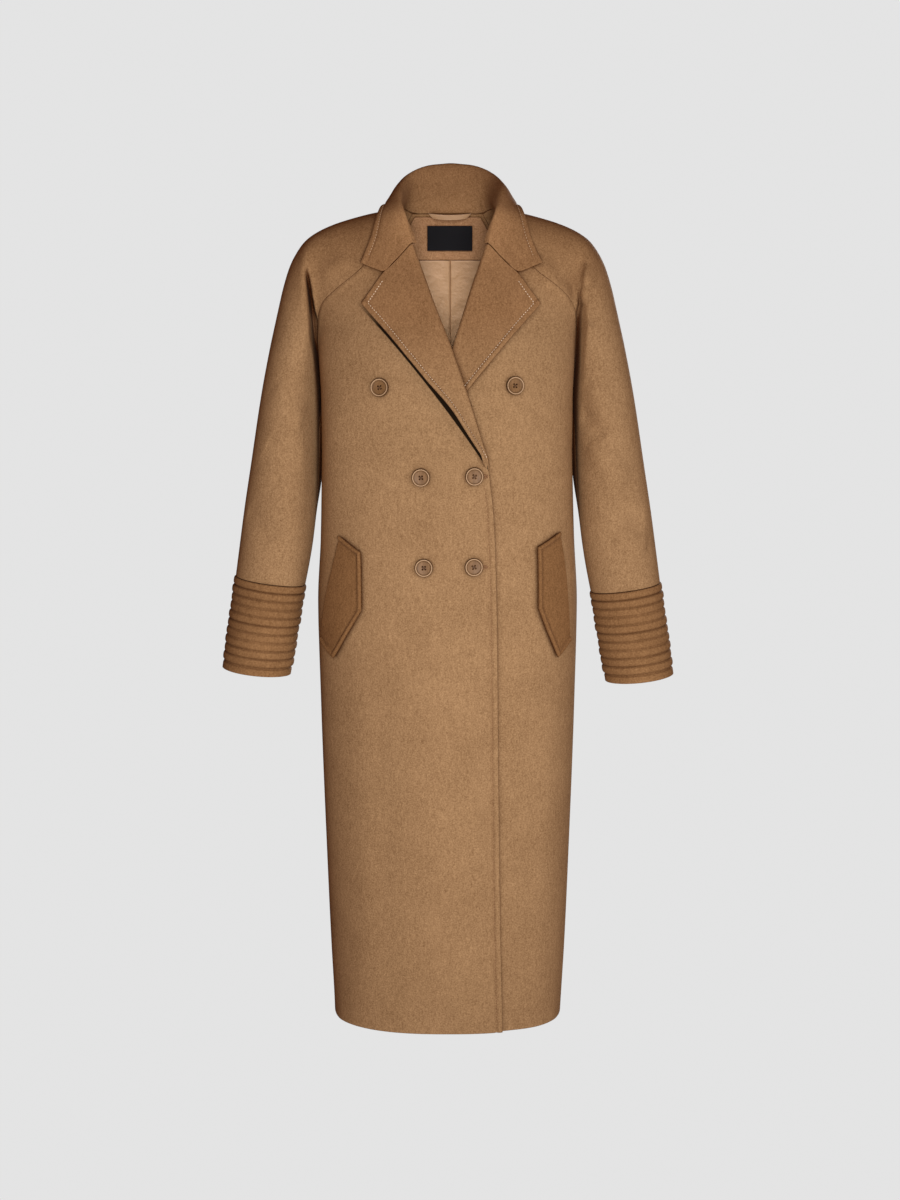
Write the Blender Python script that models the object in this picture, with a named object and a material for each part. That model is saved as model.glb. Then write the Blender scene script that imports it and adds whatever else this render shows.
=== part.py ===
"""Long double-breasted wool coat with raglan sleeves, tucked cuffs, notched collar and side pocket flaps.

Frame: metres, +Z up. The front of the coat faces -Y and the wearer's right side is at -X, the viewer's
left. The origin is the middle of the neck opening at the height of the back neck seam, where the coat
hangs on the wearer's shoulders. The coat is filled out as if worn, with nobody in it.

Every panel is a wall of cloth. Its outer skin is a grid of points worked out from the section tables
below, and its inner skin is the same grid moved in by the thickness of the cloth.
"""

import math

import bmesh
import bpy
import numpy as np

for old in list(bpy.data.objects):
    bpy.data.objects.remove(old)
COLLECTION = bpy.data.collections.new("double_breasted_coat")
bpy.context.scene.collection.children.link(COLLECTION)


def table(columns, *rows):
    """A table of sizes as one array for each named column, made from its rows."""
    return dict(zip(columns.split(), np.array(rows, float).T))


# Cloth and seams
CLOTH = 0.0026
LINING_CLOTH = 0.0012
FLAP_CLOTH = 0.0030
SEAM_GAP = 0.0003
LAYER_GAP = 0.0012
NECK_GAP = 0.0006

# Colours of the materials, linear
WOOL = (0.37, 0.20, 0.10)
FLAP_WOOL = (0.24, 0.11, 0.045)
SATIN = (0.45, 0.26, 0.14)
LABEL_BLACK = (0.006, 0.005, 0.006)
HORN = (0.17, 0.07, 0.025)

# Body sections, from the hem up
BODY = table(
    "height half_width front_depth back_depth",
    (-1.190, 0.1712, 0.1320, 0.1200),
    (-1.087, 0.1770, 0.1320, 0.1200),
    (-0.950, 0.1820, 0.1310, 0.1195),
    (-0.715, 0.1887, 0.1290, 0.1190),
    (-0.565, 0.1910, 0.1265, 0.1180),
    (-0.475, 0.1864, 0.1230, 0.1110),
    (-0.416, 0.1837, 0.1215, 0.1080),
    (-0.328, 0.1814, 0.1225, 0.1070),
    (-0.275, 0.1815, 0.1240, 0.1090),
    (-0.200, 0.1857, 0.1160, 0.1100),
    (-0.150, 0.1900, 0.1010, 0.1070),
    (-0.110, 0.1975, 0.0880, 0.1020),
    (-0.080, 0.2030, 0.0755, 0.0965),
    (-0.050, 0.2000, 0.0660, 0.0890),
    (-0.018, 0.1800, 0.0560, 0.0790),
    (0.002, 0.1680, 0.0530, 0.0735),
)
SQUARENESS = 2.5

# Rows of the fronts and the back between the hem and the underarm
BODY_ROWS = (-1.190, -1.100, -1.000, -0.900, -0.800, -0.700, -0.620, -0.550, -0.480, -0.420, -0.361, -0.318)
FRONT_COLUMNS = 12
BACK_COLUMNS = 17

# Raglan rows, from the neck to the underarm. The seam is a height and a turn round the body section, 90 at
# the side. The top is the overarm seam. A reach is a handle of the curve from a seam to the top. The valley
# column turns the curve's start from the slope of the body to straight forward, as in the armpit.
RAGLAN = table(
    "front_height front_turn back_height back_turn top_x top_y top_z front_reach top_reach back_reach valley",
    (-0.0165, 17.5, 0.000, 13.3, 0.0705, 0.004, 0.0045, 0.020, 0.028, 0.024, 0.00),
    (-0.0480, 23.9, -0.035, 17.6, 0.1030, 0.004, -0.0005, 0.030, 0.034, 0.034, 0.00),
    (-0.0811, 32.5, -0.070, 24.5, 0.1340, 0.004, -0.0080, 0.038, 0.040, 0.040, 0.00),
    (-0.1104, 49.9, -0.105, 35.3, 0.1640, 0.004, -0.0175, 0.045, 0.046, 0.046, 0.05),
    (-0.1300, 65.0, -0.135, 47.0, 0.1870, 0.004, -0.0280, 0.052, 0.052, 0.050, 0.25),
    (-0.1500, 75.0, -0.160, 58.0, 0.2045, 0.004, -0.0405, 0.058, 0.058, 0.056, 0.55),
    (-0.1750, 80.5, -0.185, 67.5, 0.2165, 0.003, -0.0560, 0.064, 0.063, 0.062, 0.80),
    (-0.2000, 84.3, -0.210, 74.6, 0.2270, 0.002, -0.0760, 0.068, 0.067, 0.067, 0.95),
    (-0.2250, 87.0, -0.232, 81.0, 0.2365, 0.001, -0.1050, 0.071, 0.071, 0.071, 1.00),
    (-0.2500, 88.8, -0.253, 86.0, 0.2455, 0.000, -0.1420, 0.074, 0.074, 0.074, 1.00),
    (-0.2750, 90.0, -0.275, 90.0, 0.2560, 0.000, -0.1870, 0.076, 0.076, 0.076, 1.00),
)
SLEEVE_COLUMNS = 9
# Lean of the sleeve's inner side away from the body, and the fold that runs up from the armpit: raglan row,
# place across the front half and depth
VALLEY_LEAN = {"right": 0.32, "left": 0.06}
TROUGH = {
    "right": table(
        "row across depth",
        (3, 0.74, 0.000), (4, 0.70, 0.001), (5, 0.56, 0.009), (6, 0.40, 0.016), (7, 0.27, 0.016),
        (8, 0.16, 0.008), (9, 0.08, 0.000), (10, 0.00, 0.000),
    ),
    "left": table(
        "row across depth",
        (3, 0.74, 0.000), (4, 0.70, 0.001), (5, 0.58, 0.003), (6, 0.44, 0.006), (7, 0.30, 0.006),
        (8, 0.18, 0.003), (9, 0.08, 0.000), (10, 0.00, 0.000),
    ),
}
TROUGH_SPREAD = 0.11

# Sleeve rows below the underarm, from the armpit to the top of the cuff, and last the end of the cuff
SLEEVE = table(
    "inner_x inner_z outer_x outer_z middle_y half_depth",
    (0.1850, -0.3060, 0.2665, -0.2380, -0.001, 0.0575),
    (0.1872, -0.3480, 0.2770, -0.2980, -0.003, 0.0570),
    (0.1895, -0.3970, 0.2865, -0.3590, -0.006, 0.0560),
    (0.1935, -0.4470, 0.2960, -0.4190, -0.010, 0.0545),
    (0.2005, -0.4950, 0.3040, -0.4760, -0.014, 0.0530),
    (0.2090, -0.5385, 0.3105, -0.5240, -0.018, 0.0515),
    (0.2320, -0.6705, 0.3310, -0.6590, -0.027, 0.0490),
)
# How much lower the left sleeve hangs, and how far outward that takes it
SLEEVE_DROP = {"right": 0.0, "left": 0.010}
DROP_OUTWARD = 0.15
LOW_LEAN = 0.07
HALF_ROUND = 4 / 3
TUCKS = 10
TUCK_HEIGHT = 0.0022
TUCK_RISE, TUCK_FALL = 0.30, 0.74
CUFF_BAND = 0.0125
BAND_HEIGHT, BAND_RISE = 0.00132, 0.25
CUFF_SET_IN = 0.0006
CUFF_COLUMNS = 18

# Front edges: how far past the middle each front reaches, and the roll line from the neck to the break
OUTER_EDGE = table(
    "height reach",
    (-1.190, 0.0815), (-1.000, 0.0770), (-0.800, 0.0740), (-0.546, 0.0703), (-0.432, 0.0660),
    (-0.375, 0.0600), (-0.361, 0.0580),
    (-0.304, 0.0415), (-0.190, 0.0005), (-0.135, -0.0215), (-0.0715, -0.0440),
    (-0.047, -0.0525), (-0.030, -0.0580), (-0.0165, -0.0650),
)
INNER_EDGE = table(
    "height reach",
    (-1.190, 0.0700), (-0.420, 0.0650), (-0.361, 0.0560), (-0.304, 0.0330), (-0.190, -0.0095),
    (-0.135, -0.0288), (-0.0715, -0.0512), (-0.047, -0.0590), (-0.030, -0.0628), (-0.0165, -0.0665),
)
# The collar and the lapels sit a little toward the wearer's left
NECK_SHIFT = 0.005
# How far the under front is pressed in where the outer front covers it
UNDERLAP = table(
    "height depth",
    (-1.190, 0.0046), (-0.420, 0.0046), (-0.330, 0.0070), (-0.270, 0.0090), (-0.190, 0.0090),
    (-0.120, 0.0040), (-0.070, 0.0000), (-0.010, 0.0000),
)
UNDERLAP_START, UNDERLAP_BLEND = 0.006, 0.055

# Lapels: the outer edge from the break to the point, and the top edge from the roll by the gorge and the
# notch to the point. Each row is a sideways place toward the lapel's own side and a height.
LAPEL_EDGE = table(
    "along side_x height",
    (0.00, -0.0530, -0.3610), (0.04, -0.0490, -0.3500), (0.16, -0.0300, -0.3226), (0.38, 0.0105, -0.2651),
    (0.68, 0.0690, -0.1933), (1.00, 0.1250, -0.1299),
)
LAPEL_ROLL = table("along height", (0.00, -0.361), (0.20, -0.290), (0.55, -0.170), (1.00, -0.0495))
GORGE_HEIGHT = -0.0470
LAPEL_TOP = table(
    "across side_x height",
    (0.00, 0.0550, -0.0495), (0.12, 0.0630, -0.0575), (0.34, 0.0810, -0.0750), (0.52, 0.0945, -0.0875),
    (0.76, 0.1100, -0.1090), (1.00, 0.1250, -0.1299),
)
NOTCH_ACROSS = 0.52
ROLL_RADIUS, ROLL_RADIUS_LEAST, ROLL_RADIUS_GROWTH = 0.0058, 0.0034, 0.06
HIDDEN_ROLL_RADIUS, HIDDEN_ROLL_TOP, HIDDEN_ROLL_BLEND = 0.0038, -0.150, 0.060
ROLL_SETTLE = 0.040
RIM_SHIFT_END, HOOK_LEVEL_START, TOP_BEND_START = 0.4, 0.6, 0.80
ROLL_GAP = {"right": 0.00098, "left": 0.0014}
STANDOFF = {
    "right": table(
        "along height",
        (0.0, 0.000), (0.10, 0.004), (0.30, 0.011), (0.48, 0.008), (0.75, 0.002), (1.0, 0.001),
    ),
    "left": table("along height", (0.0, 0.000), (0.40, 0.000), (0.55, 0.001), (0.75, 0.002), (1.0, 0.001)),
}
UNDER_LAPEL_START = 0.34
LAPEL_ROWS = 13
LAPEL_HOOK_TURNS = (-90.0, -135.0, -180.0, -225.0, -270.0)
LAPEL_FLAT = (0.10, 0.25, 0.45, 0.65, 0.84, 1.0)

# Collar rows from the middle of the back to the gorge: the roll and the outer edge
COLLAR = table(
    "along roll_x roll_y roll_z edge_x edge_y edge_z",
    (0.00, 0.0000, 0.0875, 0.0740, 0.0000, 0.1040, -0.0100),
    (0.12, 0.0280, 0.0850, 0.0715, 0.0370, 0.1020, -0.0100),
    (0.22, 0.0505, 0.0705, 0.0640, 0.0680, 0.0900, -0.0060),
    (0.35, 0.0665, 0.0440, 0.0500, 0.0890, 0.0640, 0.0000),
    (0.53, 0.0735, 0.0060, 0.0345, 0.0970, 0.0260, 0.0040),
    (0.66, 0.0725, -0.0230, 0.0185, 0.0995, -0.0100, 0.0045),
    (0.785, 0.0660, -0.0520, 0.0010, 0.1040, -0.0390, -0.0060),
    (0.88, 0.0570, -0.0650, -0.0180, 0.1120, -0.0590, -0.0360),
    (1.00, 0.0460, -0.0740, -0.0440, 0.1270, -0.0700, -0.0741),
)
COLLAR_HALF_ROWS = 17
COLLAR_STAND_COLUMNS = 5
COLLAR_FALL_COLUMNS = 8
# The collar's roll: its reach, and how that grows with the height of the stand
COLLAR_ROLL_REACH, COLLAR_REACH_LEAST, COLLAR_REACH_GROWTH = 0.011, 0.0050, 0.09
COLLAR_ROLL_OUT, COLLAR_FALL_BOW, COLLAR_FALL_REACH = 0.25, 0.35, 0.45
COLLAR_RISE, COLLAR_RISE_LEAST, COLLAR_RISE_MOST = 0.30, 0.004, 0.010
COLLAR_END_START = 0.78
COLLAR_CORNER = (0.1270, -0.0745)
COLLAR_CLEAR = 0.0012
COLLAR_END_LIFT = 0.0005
# What the fall lies on: the sleeve's first rows, the back's last rows and this stretch of the front
UNDER_SLEEVE_ROWS, UNDER_BACK_ROWS, UNDER_FRONT = 7, 9, (-0.125, -0.018)
UNDER_STEPS, UNDER_TIMES, UNDER_NEAR = 28, 4, 0.03

# Inside the neck
FACING_TOP, FACING_BOTTOM, FACING_SIDE = -0.004, -0.066, 0.006
LINING_TOP, LINING_BOTTOM, LINING_HALF_WIDTH = -0.0664, -0.320, 0.115
PLEAT_HEIGHT, PLEAT_HALF_WIDTH = 0.0015, 0.010
LABEL_WIDTH, LABEL_TOP, LABEL_BOTTOM, LABEL_CLOTH = 0.067, -0.0160, -0.0520, 0.0010
LOOP_HALF_LENGTH, LOOP_TOP, LOOP_BOTTOM, LOOP_CLOTH, LOOP_BOW = 0.032, 0.0015, -0.0055, 0.0014, 0.003
LOOP_SAG = 0.0015
INSIDE_GAP, INSIDE_LAYER_GAP = 0.0008, 0.0006
NECK_TRIM_SHIFT = 0.0035
LINING_SHARES = (0, 0.05, 0.1, 0.25, 0.4, 0.6, 0.8, 1)

# Pocket flaps: the sewn edge and the free edge, from the top down
FLAP = {
    "right": table(
        "sewn_x sewn_z free_x free_z",
        (0.1515, -0.4580, 0.1220, -0.4790),
        (0.1590, -0.4890, 0.1214, -0.5030),
        (0.1670, -0.5220, 0.1211, -0.5340),
        (0.1745, -0.5550, 0.1210, -0.5625),
        (0.1805, -0.5860, 0.1400, -0.5960),
        (0.1855, -0.6160, 0.1640, -0.6375),
    ),
    "left": table(
        "sewn_x sewn_z free_x free_z",
        (0.1585, -0.4530, 0.1265, -0.4720),
        (0.1640, -0.4850, 0.1275, -0.4980),
        (0.1685, -0.5180, 0.1280, -0.5300),
        (0.1715, -0.5520, 0.1280, -0.5600),
        (0.1735, -0.5840, 0.1405, -0.5940),
        (0.1750, -0.6140, 0.1570, -0.6345),
    ),
}
FLAP_ACROSS = 5
FLAP_LIFT, FLAP_STANDOFF = 0.00072, 0.0012

# Buttons: name, sideways place, height and the front that carries it
BUTTONS = (
    ("button_1", -0.0947, -0.2455, "right"),
    ("button_2", 0.0947, -0.2430, "left"),
    ("button_3", -0.0373, -0.3715, "right"),
    ("button_4", 0.0380, -0.3700, "right"),
    ("button_5", -0.0333, -0.4996, "right"),
    ("button_6", 0.0375, -0.4985, "right"),
)
BUTTON_RADIUS = 0.0130
BUTTON_STEPS = 20
BUTTON_PROFILE = table(
    "radius_share height",
    (0.00, 0.0000), (0.88, 0.0000), (1.00, 0.0010), (1.00, 0.0026), (0.90, 0.0038), (0.74, 0.0034),
    (0.62, 0.0022), (0.00, 0.0020),
)
BUTTON_LIFT = 0.0005

# Distance over which the slope of the body form is measured
SLOPE_STEP = 0.004


def smooth_curve(sizes, column):
    """A smooth curve through one column of a table, with the table's first column as its key.

    Args:
        sizes: The table, its rows sorted by the first column either way.
        column: Name of the column that the curve gives.

    Returns:
        A function of the key that doesn't swing past the table's values.
    """
    keys, values = next(iter(sizes.values())), sizes[column]
    order = np.argsort(keys)
    keys, values = keys[order], values[order]
    steps = np.diff(keys)
    slopes = np.diff(values) / steps
    tangents = np.concatenate([slopes[:1], (slopes[:-1] + slopes[1:]) / 2, slopes[-1:]])
    before, after = slopes[:-1], slopes[1:]
    turning = before * after <= 0
    weight = 2 * (steps[:-1] + steps[1:])
    share_before = (2 * steps[1:] + steps[:-1]) / weight * 2
    share_after = (steps[1:] + 2 * steps[:-1]) / weight * 2
    safe_before = np.where(turning, 1.0, before)
    safe_after = np.where(turning, 1.0, after)
    harmonic = 3 / (1.5 * (share_before / safe_before + share_after / safe_after))
    tangents[1:-1] = np.where(turning, 0.0, harmonic)

    def curve(key):
        key = np.asarray(key, float)
        index = np.clip(np.searchsorted(keys, key) - 1, 0, len(steps) - 1)
        share = np.clip((key - keys[index]) / steps[index], 0, 1)
        rest = 1 - share
        return (
            values[index] * (1 + 2 * share) * rest**2
            + tangents[index] * steps[index] * share * rest**2
            + values[index + 1] * share**2 * (3 - 2 * share)
            - tangents[index + 1] * steps[index] * share**2 * rest
        )

    return curve


def ease(share):
    """A soft step from 0 to 1."""
    share = np.clip(share, 0, 1)
    return share * share * (3 - 2 * share)


def unit(vectors):
    """The vectors, each made one long."""
    return vectors / np.maximum(np.linalg.norm(vectors, axis=-1, keepdims=True), 1e-12)


half_width = smooth_curve(BODY, "half_width")
front_depth = smooth_curve(BODY, "front_depth")
back_depth = smooth_curve(BODY, "back_depth")
outer_edge = smooth_curve(OUTER_EDGE, "reach")
inner_edge = smooth_curve(INNER_EDGE, "reach")
underlap = smooth_curve(UNDERLAP, "depth")


def depth(height, face):
    """Depth of the body section in front (face -1) or behind (face +1)."""
    return np.where(np.asarray(face) < 0, front_depth(height), back_depth(height))


def turn_of(x, height):
    """The turn round the section, in radians, of a sideways place."""
    share = np.minimum(np.abs(x) / half_width(height), 1.0)
    return np.sign(x) * np.arcsin(share ** (SQUARENESS / 2))


def body_point(turn, height, face):
    """Points of the body form: a rounded-square section at each height, placed by the turn round it."""
    turn, height = np.broadcast_arrays(np.asarray(turn, float), np.asarray(height, float))
    sine, cosine = np.sin(turn), np.maximum(np.cos(turn), 0)
    x = half_width(height) * np.sign(sine) * np.abs(sine) ** (2 / SQUARENESS)
    y = face * depth(height, face) * cosine ** (2 / SQUARENESS)
    return np.stack([x, y, height], axis=-1)


def body_normal(points, face):
    """Outward normals of the body form at its points, from the slope of its section equation."""
    x, y, height = points[..., 0], points[..., 1], points[..., 2]
    width, reach = half_width(height), depth(height, face)
    step = SLOPE_STEP
    width_slope = (half_width(height + step) - half_width(height - step)) / (2 * step)
    reach_slope = (depth(height + step, face) - depth(height - step, face)) / (2 * step)
    across = np.abs(x) ** (SQUARENESS - 1) * np.sign(x) / width**SQUARENESS
    along = np.abs(y) ** (SQUARENESS - 1) * face / reach**SQUARENESS
    up = -(
        np.abs(x) ** SQUARENESS * width_slope / width ** (SQUARENESS + 1)
        + np.abs(y) ** SQUARENESS * reach_slope / reach ** (SQUARENESS + 1)
    )
    return unit(np.stack([across, along, up], axis=-1))


def pressed_in(x, height):
    """How far the under front lies behind the body form at a place."""
    past = x - outer_edge(height) - UNDERLAP_START
    return underlap(height) * (1 - ease(past / UNDERLAP_BLEND))


def front_skin(x, height, side):
    """Points and normals of a front's outer skin at a sideways place and a height."""
    points = body_point(turn_of(x, height), height, -1)
    normals = body_normal(points, -1)
    if side == "left":
        points = points - normals * pressed_in(x, height)[..., None]
    return points, normals


def pulled_edges(points, rows=(0.0, 0.0), columns=(0.0, 0.0)):
    """The grid with its first and last rows and columns pulled in, to leave the gaps at the seams."""
    points = points.copy()
    points[0] += unit(points[1] - points[0]) * rows[0]
    points[-1] += unit(points[-2] - points[-1]) * rows[1]
    points[:, 0] += unit(points[:, 1] - points[:, 0]) * columns[0]
    points[:, -1] += unit(points[:, -2] - points[:, -1]) * columns[1]
    return points


def wall(name, outer, inner, material, closed=False):
    """A solid between two grids of points with the same rows and columns.

    Args:
        name: Name of the object.
        outer: Points of the outer skin, rows by columns by 3.
        inner: Points of the inner skin.
        material: Its material.
        closed: Whether the last column joins the first one, as in a tube.

    Returns:
        The object: both skins lofted row by row, and the rim that joins them.
    """
    shape = bmesh.new()
    rows, columns = outer.shape[:2]
    skins = []
    for grid in (outer, inner):
        skins.append([[shape.verts.new(point) for point in row] for row in grid])
    last = columns if closed else columns - 1
    for skin in skins:
        for i in range(rows - 1):
            for j in range(last):
                k = (j + 1) % columns
                shape.faces.new((skin[i][j], skin[i][k], skin[i + 1][k], skin[i + 1][j]))
    for i in (0, rows - 1):
        for j in range(last):
            k = (j + 1) % columns
            shape.faces.new((skins[0][i][j], skins[0][i][k], skins[1][i][k], skins[1][i][j]))
    if not closed:
        for j in (0, columns - 1):
            for i in range(rows - 1):
                shape.faces.new((skins[0][i][j], skins[0][i + 1][j], skins[1][i + 1][j], skins[1][i][j]))
    bmesh.ops.recalc_face_normals(shape, faces=shape.faces)
    return finished(name, shape, material)


def finished(name, shape, material):
    """The object of a shape, in the coat's collection, with its material and smooth shading."""
    mesh = bpy.data.meshes.new(name)
    shape.to_mesh(mesh)
    shape.free()
    mesh.materials.append(material)
    for face in mesh.polygons:
        face.use_smooth = True
    part = bpy.data.objects.new(name, mesh)
    COLLECTION.objects.link(part)
    return part


def surface_material(name, colour, roughness):
    """A plain Principled material."""
    material = bpy.data.materials.new(name)
    material.use_nodes = True
    shader = material.node_tree.nodes["Principled BSDF"]
    shader.inputs["Base Color"].default_value = (*colour, 1.0)
    shader.inputs["Roughness"].default_value = roughness
    shader.inputs["Metallic"].default_value = 0.0
    return material


def bezier(start, first, second, end, shares):
    """Points of cubic curves, one for each row, at the shares along them."""
    t = shares[None, :, None]
    return (
        start[:, None] * (1 - t) ** 3
        + 3 * first[:, None] * t * (1 - t) ** 2
        + 3 * second[:, None] * t**2 * (1 - t)
        + end[:, None] * t**3
    )


def troughed(half, shares, side):
    """The front half of a sleeve with the fold that runs up from the armpit pressed in."""
    rows = np.arange(len(half))
    across = smooth_curve(TROUGH[side], "across")(rows)[:, None]
    depth_in = smooth_curve(TROUGH[side], "depth")(rows)[:, None]
    press = depth_in * np.exp(-(((shares - across) / TROUGH_SPREAD) ** 2))
    ways = unit(np.cross(np.gradient(half, axis=1), np.gradient(half, axis=0)))
    inward = np.array([-0.6, 0.8, 0.0])
    ways = ways * np.where(ways @ inward > 0, 1.0, -1.0)[..., None]
    press[:, 0] = 0.0
    press[:, -1] = 0.0
    return half + ways * press[..., None]


def sleeve_grids(side):
    """Skins of one sleeve from the neck to the top of the cuff.

    Args:
        side: "right" or "left", the wearer's.

    Returns:
        Points and normals of the front half, from the front seam to the top, and of the back half, from
        the top to the back seam.
    """
    drop = SLEEVE_DROP[side]
    low = {name: column[:-1] for name, column in SLEEVE.items()}
    low_count = len(low["inner_x"])
    sink = drop * ease(np.linspace(0, 1, low_count))
    front = body_point(np.radians(RAGLAN["front_turn"]), RAGLAN["front_height"], -1)
    back = body_point(np.radians(RAGLAN["back_turn"]), RAGLAN["back_height"], 1)
    top = np.stack([RAGLAN["top_x"], RAGLAN["top_y"], RAGLAN["top_z"]], axis=-1)
    front_slope = body_normal(front, -1)
    back_slope = body_normal(back, 1)
    valley = RAGLAN["valley"][:, None]
    forward = np.array([0.0, -1.0, 0.0])
    halves = []
    for seam, slope, way, reach in (
        (front, front_slope, forward, RAGLAN["front_reach"]),
        (back, back_slope, -forward, RAGLAN["back_reach"]),
    ):
        toward = top - seam
        toward = unit(toward - slope * np.sum(toward * slope, axis=-1, keepdims=True))
        lean = np.array([VALLEY_LEAN[side] if way[1] < 0 else 0.0, 0.0, 0.0])
        start_way = unit(toward * (1 - valley) + (way + lean) * valley)
        start_handle = seam + start_way * reach[:, None]
        top_handle = top + way * RAGLAN["top_reach"][:, None]
        outward = DROP_OUTWARD * sink
        inner = np.stack([low["inner_x"] + outward, low["middle_y"], low["inner_z"] - sink], axis=-1)
        outer = np.stack([low["outer_x"] + outward, low["middle_y"], low["outer_z"] - sink], axis=-1)
        swell = way * (low["half_depth"] * HALF_ROUND)[:, None]
        starts = np.concatenate([seam, inner])
        low_lean = lean * np.linspace(LOW_LEAN, 0.0, low_count)[:, None]
        firsts = np.concatenate([start_handle, inner + swell + low_lean])
        seconds = np.concatenate([top_handle, outer + swell])
        ends = np.concatenate([top, outer])
        shares = np.linspace(0, 1, SLEEVE_COLUMNS)
        half = bezier(starts, firsts, seconds, ends, shares)
        if way[1] < 0:
            half = troughed(half, shares, side)
        halves.append(half)
    ring = np.concatenate([halves[0], halves[1][:, ::-1][:, 1:]], axis=1)
    across = np.gradient(ring, axis=1)
    first_closed = len(RAGLAN["valley"]) - 1
    join = ring[first_closed:, 1] - ring[first_closed:, -2]
    across[first_closed:, 0] = join
    across[first_closed:, -1] = join
    along = np.gradient(ring, axis=0)
    normals = unit(np.cross(across, along))
    outward = np.sum(normals[-1, 0] * (ring[-1, 0] - ring[-1].mean(axis=0)))
    normals = normals * np.sign(outward)
    seam_rows = slice(0, first_closed + 1)
    for column, slope in ((0, front_slope), (-1, back_slope)):
        own = normals[seam_rows, column]
        agree = ease(np.sum(own * slope, axis=-1) * 2)[:, None]
        normals[seam_rows, column] = unit(own + slope * agree)
    mirror = np.array([-1.0 if side == "right" else 1.0, 1.0, 1.0])
    ring, normals = ring * mirror, normals * mirror
    cut = SLEEVE_COLUMNS
    return (ring[:, :cut], normals[:, :cut]), (ring[:, cut - 1:], normals[:, cut - 1:])


def sleeve_panels(side, material):
    """Both halves of a sleeve as solids."""
    half_gap = SEAM_GAP / 2
    front, back = sleeve_grids(side)
    for word, (points, normals), seam in (("front", front, 0), ("back", back, -1)):
        points = points.copy()
        points[:, seam] -= normals[:, seam] * half_gap
        inner = points - normals * CLOTH
        rows, columns = (NECK_GAP / 2, half_gap), (half_gap, half_gap)
        outer = pulled_edges(points, rows, columns)
        wall(f"sleeve_{word}_{side}", outer, pulled_edges(inner, rows, columns), material)


def cuff_ring(share, side):
    """Middle-skin ring of a cuff at a share of its length, as points and outward normals."""
    drop = SLEEVE_DROP[side]
    row = {name: column[-2] * (1 - share) + column[-1] * share for name, column in SLEEVE.items()}
    outward = DROP_OUTWARD * drop
    inner = np.array([row["inner_x"] + outward, row["middle_y"], row["inner_z"] - drop])
    outer = np.array([row["outer_x"] + outward, row["middle_y"], row["outer_z"] - drop])
    turns = np.linspace(0, 2 * math.pi, CUFF_COLUMNS, endpoint=False)[:, None]
    middle, half = (inner + outer) / 2, (outer - inner) / 2
    reach = row["half_depth"]
    forward = np.array([0.0, -reach, 0.0])
    ring = middle - half * np.cos(turns) + forward * np.sin(turns)
    normal = unit(-unit(half) / np.linalg.norm(half) * np.cos(turns) + forward / reach**2 * np.sin(turns))
    mirror = np.array([-1.0 if side == "right" else 1.0, 1.0, 1.0])
    return ring * mirror, normal * mirror


def cuff(side, material):
    """A cuff: a tube with raised tucks round its outside, a plain band at its end and a plain inside."""
    length = math.hypot(np.diff(SLEEVE["inner_x"])[-1], np.diff(SLEEVE["inner_z"])[-1])
    tuck = (1 - CUFF_BAND / length) / TUCKS
    steps = [(0.0, 0.0)]
    for number in range(TUCKS):
        start = number * tuck
        steps += [(start + TUCK_RISE * tuck, TUCK_HEIGHT), (start + TUCK_FALL * tuck, TUCK_HEIGHT)]
        steps += [(start + tuck, 0.0)]
    band = 1 - TUCKS * tuck
    steps += [(1 - (1 - BAND_RISE) * band, BAND_HEIGHT), (1.0, BAND_HEIGHT)]
    start_share = SEAM_GAP / length
    outer, inner = [], []
    for share, height in steps:
        ring, normal = cuff_ring(max(share, start_share), side)
        outer.append(ring + normal * (height - CUFF_SET_IN))
        inner.append(ring - normal * CLOTH)
    outer, inner = np.array(outer), np.array(inner)
    shape = bmesh.new()
    loops = [[shape.verts.new(point) for point in ring] for ring in (*outer, inner[-1], inner[0])]
    loops.append(loops[0])
    for upper, lower in zip(loops, loops[1:]):
        for j in range(CUFF_COLUMNS):
            k = (j + 1) % CUFF_COLUMNS
            shape.faces.new((upper[j], upper[k], lower[k], lower[j]))
    bmesh.ops.recalc_face_normals(shape, faces=shape.faces)
    return finished(f"cuff_{side}", shape, material)


def front_panel(side, material):
    """One front, from its side and raglan seams to its free edge and its roll line."""
    heights = np.concatenate([BODY_ROWS, RAGLAN["front_height"][::-1]])
    low = np.full(len(BODY_ROWS), math.pi / 2)
    seam = np.concatenate([low, np.radians(RAGLAN["front_turn"])[::-1]])
    edge = outer_edge(heights) if side == "right" else inner_edge(heights)
    shares = np.linspace(0, 1, FRONT_COLUMNS)
    edge_turn = -turn_of(edge, heights)
    turns = seam[:, None] * (1 - shares) + edge_turn[:, None] * shares
    points = body_point(turns, heights[:, None], -1)
    normals = body_normal(points, -1)
    (_, sleeve_normals), _ = sleeve_grids("left")
    rows = len(RAGLAN["valley"])
    joined = sleeve_normals[:rows, 0][::-1]
    agree = ease(np.sum(joined * normals[-rows:, 0], axis=-1) * 2)[:, None]
    normals[-rows:, 0] = unit(normals[-rows:, 0] + (joined - normals[-rows:, 0]) * agree)
    if side == "left":
        points = points - normals * pressed_in(points[..., 0], points[..., 2])[..., None]
    else:
        mirror = np.array([-1.0, 1.0, 1.0])
        points, normals = points * mirror, normals * mirror
    half_gap = SEAM_GAP / 2
    points[-rows:, 0] -= normals[-rows:, 0] * half_gap
    inner = points - normals * CLOTH
    pulls = ((0.0, NECK_GAP / 2), (half_gap, 0.0))
    return wall(f"front_{side}", pulled_edges(points, *pulls), pulled_edges(inner, *pulls), material)


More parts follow.
